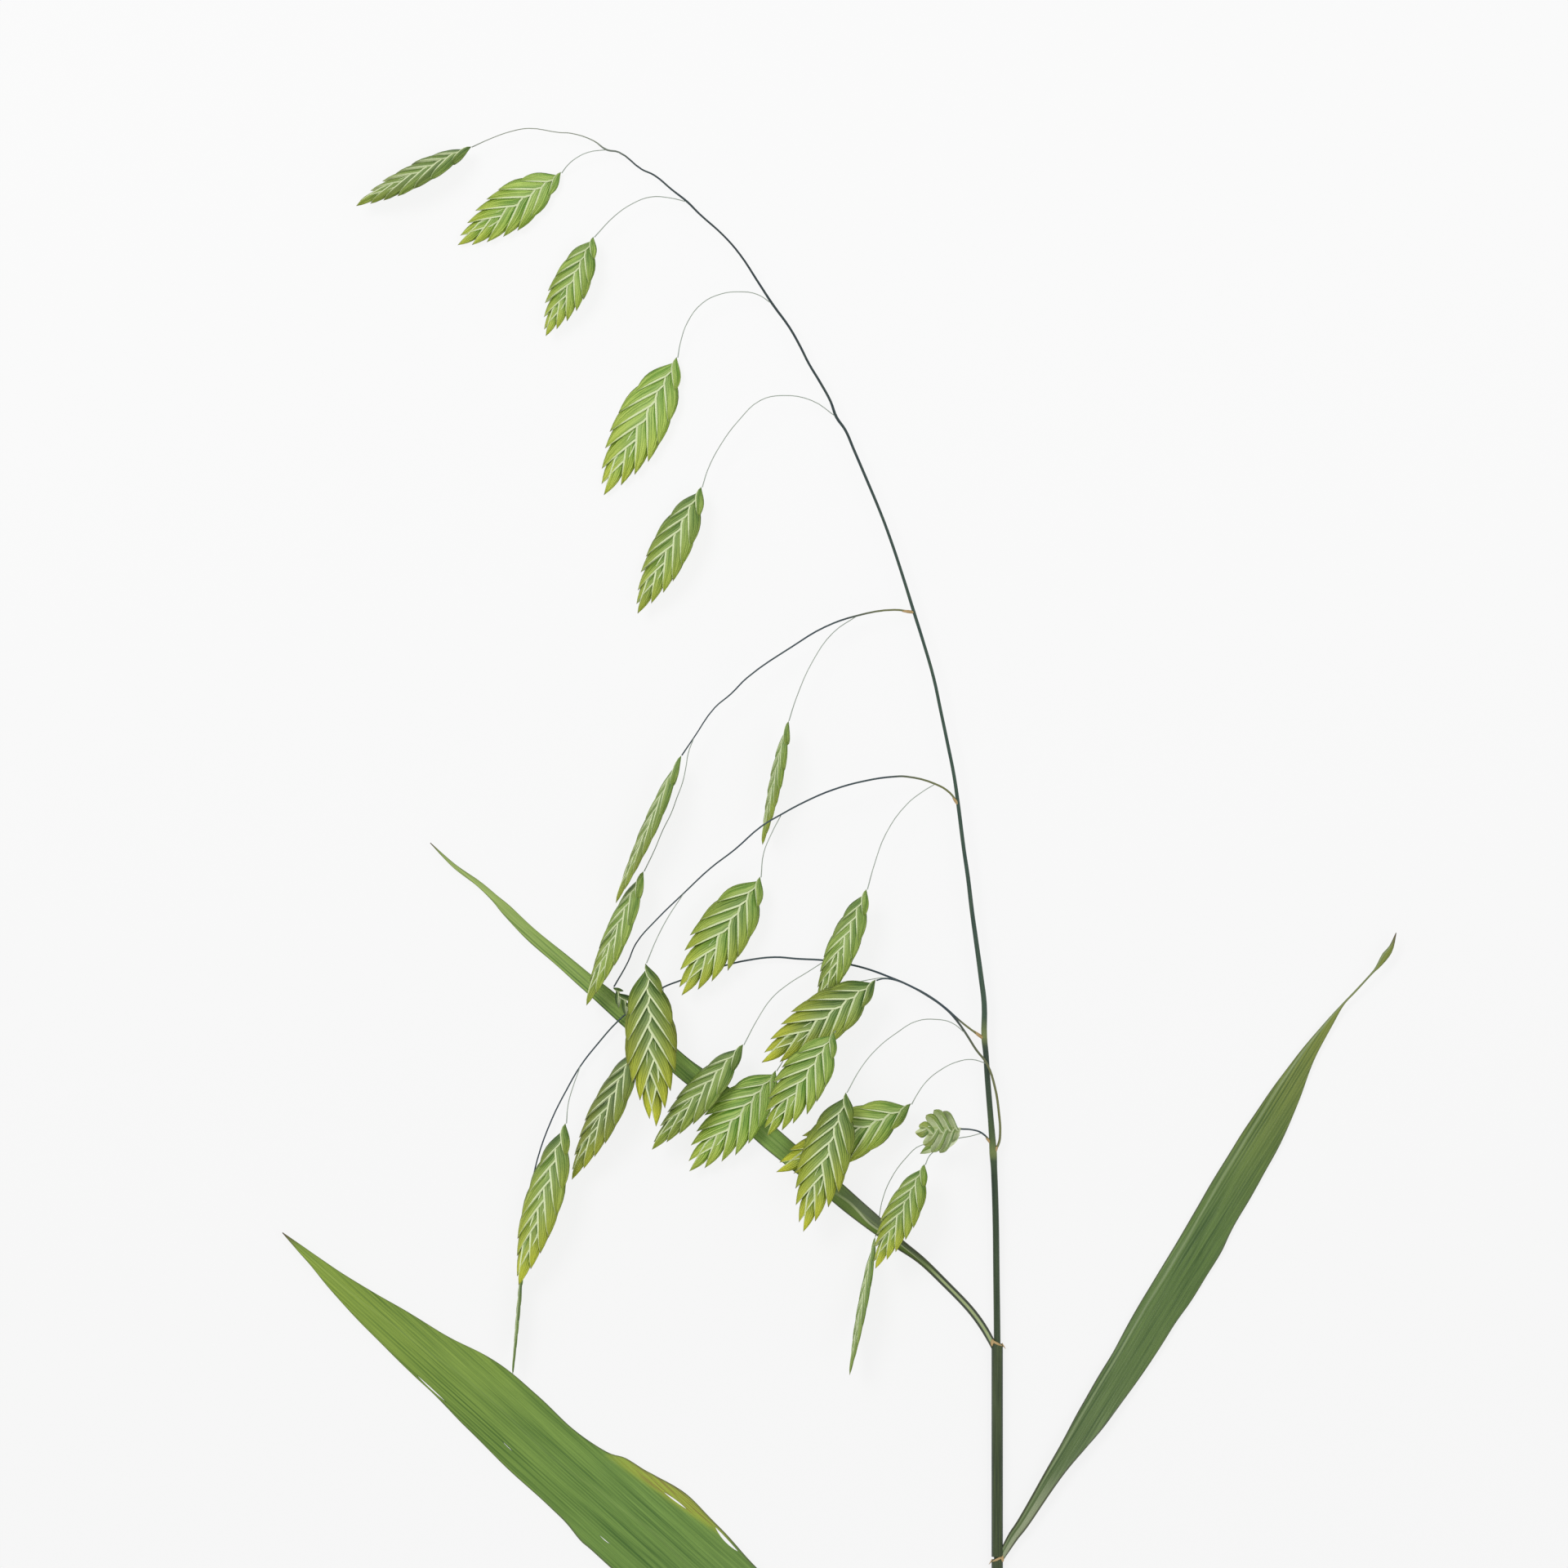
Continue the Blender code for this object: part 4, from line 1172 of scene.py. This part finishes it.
def add_collar(leaf, top, tan):
    """The tan collar at the sheath's mouth: a slanting ring, a swelling and a small spine."""
    side = COLLAR_SIDE[leaf]
    deselect_all()
    bpy.ops.mesh.primitive_torus_add(
        major_segments=32, minor_segments=8, major_radius=RING_MM[0] * MM, minor_radius=RING_MM[1] * MM,
        location=top, rotation=(-math.pi / 2.0, 0.0, math.radians(COLLAR_SLANT * side)),
    )
    ring = named(leaf + "_ring")
    deselect_all()
    bpy.ops.mesh.primitive_uv_sphere_add(
        segments=20, ring_count=12, radius=SWELLING_MM * MM,
        location=top + beside_mouth(SWELLING_PLACE_MM, side),
    )
    swelling = named(leaf + "_swelling")
    bpy.ops.transform.resize(value=SWELLING_STRETCH)
    deselect_all()
    thick, thin, length = SPINE_MM
    bpy.ops.mesh.primitive_cone_add(
        vertices=12, radius1=thick * MM, radius2=thin * MM, depth=length * MM,
        location=top + beside_mouth(SPINE_PLACE_MM, side),
        rotation=(math.pi / 2.0, 0.0, math.radians(-side * SPINE_LEAN)),
    )
    spine = named(leaf + "_spine")
    pieces = [ring, swelling, spine]
    for piece in pieces:
        select_only(piece)
        bpy.ops.object.transform_apply(location=True, rotation=True, scale=True)
        piece.data.materials.append(tan)
        smooth(piece)
    return pieces


def build_leaf(leaf, group, skin, tan):
    blade = add_blade(leaf, blade_material(group, leaf))
    made = join([blade] + add_sheath(leaf, skin, tan), leaf + "_skin")
    keep_above_floor(made)
    dress(made, leaf)


# Spikelets

# Across the folded scale: how near the margin each column lies, and on which face
SCALE_COLUMNS = (
    (1.0, 1), (0.72, 1), (0.36, 1), (0.0, 0), (0.36, -1), (0.72, -1), (1.0, -1), (1.0, 1),
)


def keel_line(share):
    """How far the keel bows out from the straight line between root and tip."""
    return KEEL_BULGE * math.sin(math.pi * share ** KEEL_SKEW)


def margin_line(share):
    """How far the margin lies in from that line: out to a shoulder, then straight to the tip."""
    rise = min(share / SHOULDER_PLACE, 1.0) ** SHOULDER_ROUNDNESS
    fall = min((1.0 - share) / (1.0 - SHOULDER_PLACE), 1.0)
    return SHOULDER_DEPTH * rise * fall


def ridge_line(share):
    """How far the margins stand out of the face, as a share of the full ridge."""
    return RIDGE_FULLNESS * share ** 0.5 * max(1.0 - share ** 6, 0.0) ** 0.8


def make_scale():
    """One folded scale of unit length: a grid folded at its keel and closed between its margins."""
    deselect_all()
    columns = len(SCALE_COLUMNS) - 1
    bpy.ops.mesh.primitive_grid_add(x_subdivisions=columns, y_subdivisions=SCALE_ROWS, size=1.0)
    made = named("scale")
    inner_values, along_values = [], []
    for vertex in made.data.vertices:
        inner, face = SCALE_COLUMNS[round((vertex.co.x + 0.5) * columns)]
        share = min(max(vertex.co.y + 0.5, 0.0), 1.0)
        keel = keel_line(share)
        side = keel - (keel + margin_line(share)) * inner
        out = ridge_line(share) * face * inner ** FOLD_ROUNDNESS
        vertex.co = (share, side, out)
        inner_values.append(inner)
        along_values.append(share)
    write_attribute(made, "inner", inner_values)
    write_attribute(made, "along", along_values)
    select_only(made)
    bpy.ops.object.mode_set(mode="EDIT")
    bpy.ops.mesh.select_all(action="SELECT")
    bpy.ops.mesh.remove_doubles(threshold=0.0001)
    bpy.ops.mesh.normals_make_consistent(inside=False)
    bpy.ops.object.mode_set(mode="OBJECT")
    smooth(made, 50.0)
    return made


def outline_share(share):
    """Half width of a spikelet at a share of its length, as a share of its widest."""
    return max(math.sin(math.pi * share ** OUTLINE_SKEW), 0.0) ** OUTLINE_ROUNDNESS


def spikelet_matrix(foot, tip, roll):
    """Turns and moves a spikelet's own frame onto its foot, tip and roll."""
    along = (tip - foot).normalized()
    up = Vector((0.0, 0.0, 1.0))
    face = (up - along * up.dot(along)).normalized()
    face = Matrix.Rotation(math.radians(roll), 3, along) @ face
    across = face.cross(along)
    turn = Matrix((along, across, face)).transposed()
    return Matrix.Translation(foot) @ turn.to_4x4()


def scale_matrix(root, tip, side, ridge, fullness):
    """From the unit scale to its place in the spikelet's frame, in millimetres."""
    way = Vector((tip[0] - root[0], tip[1] - root[1], 0.0))
    length = way.length
    along = way / length
    outward = Vector((-along.y * side, along.x * side, 0.0))
    upward = Vector((0.0, 0.0, ridge))
    stretch = Matrix((along * length, outward * length * fullness, upward)).transposed()
    return Matrix.Translation((root[0], root[1], 0.0)) @ stretch.to_4x4()


def build_spikelet(number, entry, pattern, skin, draw):
    foot_px, tip_px, half_width, roll, tone, ripeness = entry
    name = f"spikelet_{number:02d}"
    foot = place(*foot_px)
    tip = place(*tip_px)
    matrix = spikelet_matrix(foot, tip, roll) @ Matrix.Scale(MM, 4)
    length = (tip - foot).length / MM
    pieces = []
    count_of_scales = FEWER_SCALES.get(number, SCALES_PER_SPIKELET)
    for index in range(count_of_scales):
        share = index / (count_of_scales - 1)
        side = 1 if index % 2 == 0 else -1
        tip_share = FIRST_TIP + (1.0 - FIRST_TIP) * share ** TIP_CROWDING
        tip_share = min(tip_share + draw.uniform(-TIP_JITTER, TIP_JITTER), 1.0)
        reach = half_width * outline_share(tip_share) * draw.uniform(*REACH_JITTER)
        root = (length * LAST_ROOT * share ** ROOT_CROWDING, -side * ROOT_OFFSET_MM)
        end = (length * tip_share, side * max(reach, LEAST_REACH_MM))
        ridge = RIDGE_MM * (1.0 - RIDGE_LOSS * index) * THIN_SPIKELETS.get(number, 1.0)
        fullness = 1.0 + EARLY_FULLNESS * (1.0 - share) ** 3
        spot = matrix @ scale_matrix(root, end, side, ridge, fullness)
        age = ripeness * (FIRST_AGE + AGE_GAIN * share ** 1.5)
        pieces.append(place_scale(pattern, f"{name}_scale_{index}", spot, side, age, tone, draw))
    if number in LONG_GLUMES:
        first_px, last_px, turn = LONG_GLUMES[number]
        first, last = place(*first_px), place(*last_px)
        end = ((last - first).length / MM, 0.0)
        spot = spikelet_matrix(first, last, turn) @ Matrix.Scale(MM, 4)
        spot = spot @ scale_matrix((0.0, 0.0), end, -1, GLUME_RIDGE_MM, GLUME_FULLNESS)
        pieces.append(place_scale(pattern, name + "_glume", spot, -1, GLUME_AGE, tone, draw))
    made = join(pieces, name + "_scales")
    keep_above_floor(made)
    made.data.materials.clear()
    made.data.materials.append(skin)
    dress(made, name)


def place_scale(pattern, name, spot, side, age, tone, draw):
    """A copy of the scale with its own mesh, moved to its spot, with its own age and tone."""
    mesh = pattern.data.copy()
    piece = bpy.data.objects.new(name, mesh)
    bpy.context.scene.collection.objects.link(piece)
    mesh.transform(spot)
    if side < 0:
        mesh.flip_normals()
    count = len(mesh.vertices)
    write_attribute(piece, "age", [min(age * draw.uniform(*AGE_JITTER), 1.0)] * count)
    tone += draw.uniform(-TONE_JITTER, TONE_JITTER)
    write_attribute(piece, "tone", [min(max(tone, 0.0), 1.0)] * count)
    write_attribute(piece, "draw", [draw.random()] * count)
    return piece


def build_spikelets(group):
    draw = random.Random(SCALE_SEED)
    pattern = make_scale()
    skin = scale_material(group)
    for number, entry in enumerate(SPIKELETS, start=1):
        build_spikelet(number, entry, pattern, skin, draw)
    bpy.data.objects.remove(pattern, do_unlink=True)


# Stage

def build_stage():
    deselect_all()
    bpy.ops.mesh.primitive_plane_add(size=FLOOR_SIDE, location=(0.0, 0.0, -FLOOR_DROP_MM * MM))
    floor = named("floor")
    bpy.ops.object.transform_apply(location=True, rotation=True, scale=True)
    floor.data.materials.append(floor_material())


def build_light():
    world = bpy.data.worlds.new("studio")
    world.use_nodes = True
    background = world.node_tree.nodes["Background"]
    background.inputs["Color"].default_value = (1.0, 1.0, 1.0, 1.0)
    background.inputs["Strength"].default_value = WORLD_STRENGTH
    bpy.context.scene.world = world
    for name, (spot, size, power) in LAMPS.items():
        deselect_all()
        bpy.ops.object.light_add(type="AREA", location=spot)
        lamp = bpy.context.object
        lamp.name = name
        lamp.data.shape = "DISK"
        lamp.data.size = size
        lamp.data.energy = power
        lamp.rotation_euler = (-Vector(spot)).to_track_quat("-Z", "Y").to_euler()


def build_camera():
    middle = place(PHOTO_SIDE_PX / 2, PHOTO_SIDE_PX / 2, 0.0)
    view_side = PHOTO_SIDE_PX * MM_PER_PIXEL * MM
    distance = view_side * LENS_MM / SENSOR_MM
    spot = middle + Vector((0.0, 0.0, distance))
    deselect_all()
    bpy.ops.object.camera_add(location=spot, rotation=(0.0, 0.0, 0.0))
    camera = bpy.context.object
    camera.name = "camera"
    camera.data.lens = LENS_MM
    camera.data.sensor_width = SENSOR_MM
    camera.data.clip_start = NEAREST_VIEW
    camera.data.clip_end = FURTHEST_VIEW
    bpy.context.scene.camera = camera


def main():
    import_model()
    build_camera()
    build_stage()
    build_light()
    bpy.context.scene.view_settings.view_transform = "Standard"
    group = fibre_group()
    slate = stalk_material(group)
    pale = plain_material("pale_stalk", PALE_STALK, 0.5, group)
    tan = plain_material("tan_joint", TAN_JOINT, 0.55, group)
    build_culm(stem_material(group))
    build_branches(slate, pale, tan)
    skin = sheath_material(group)
    for leaf in BLADES:
        build_leaf(leaf, group, skin, tan)
    build_spikelets(group)


main()
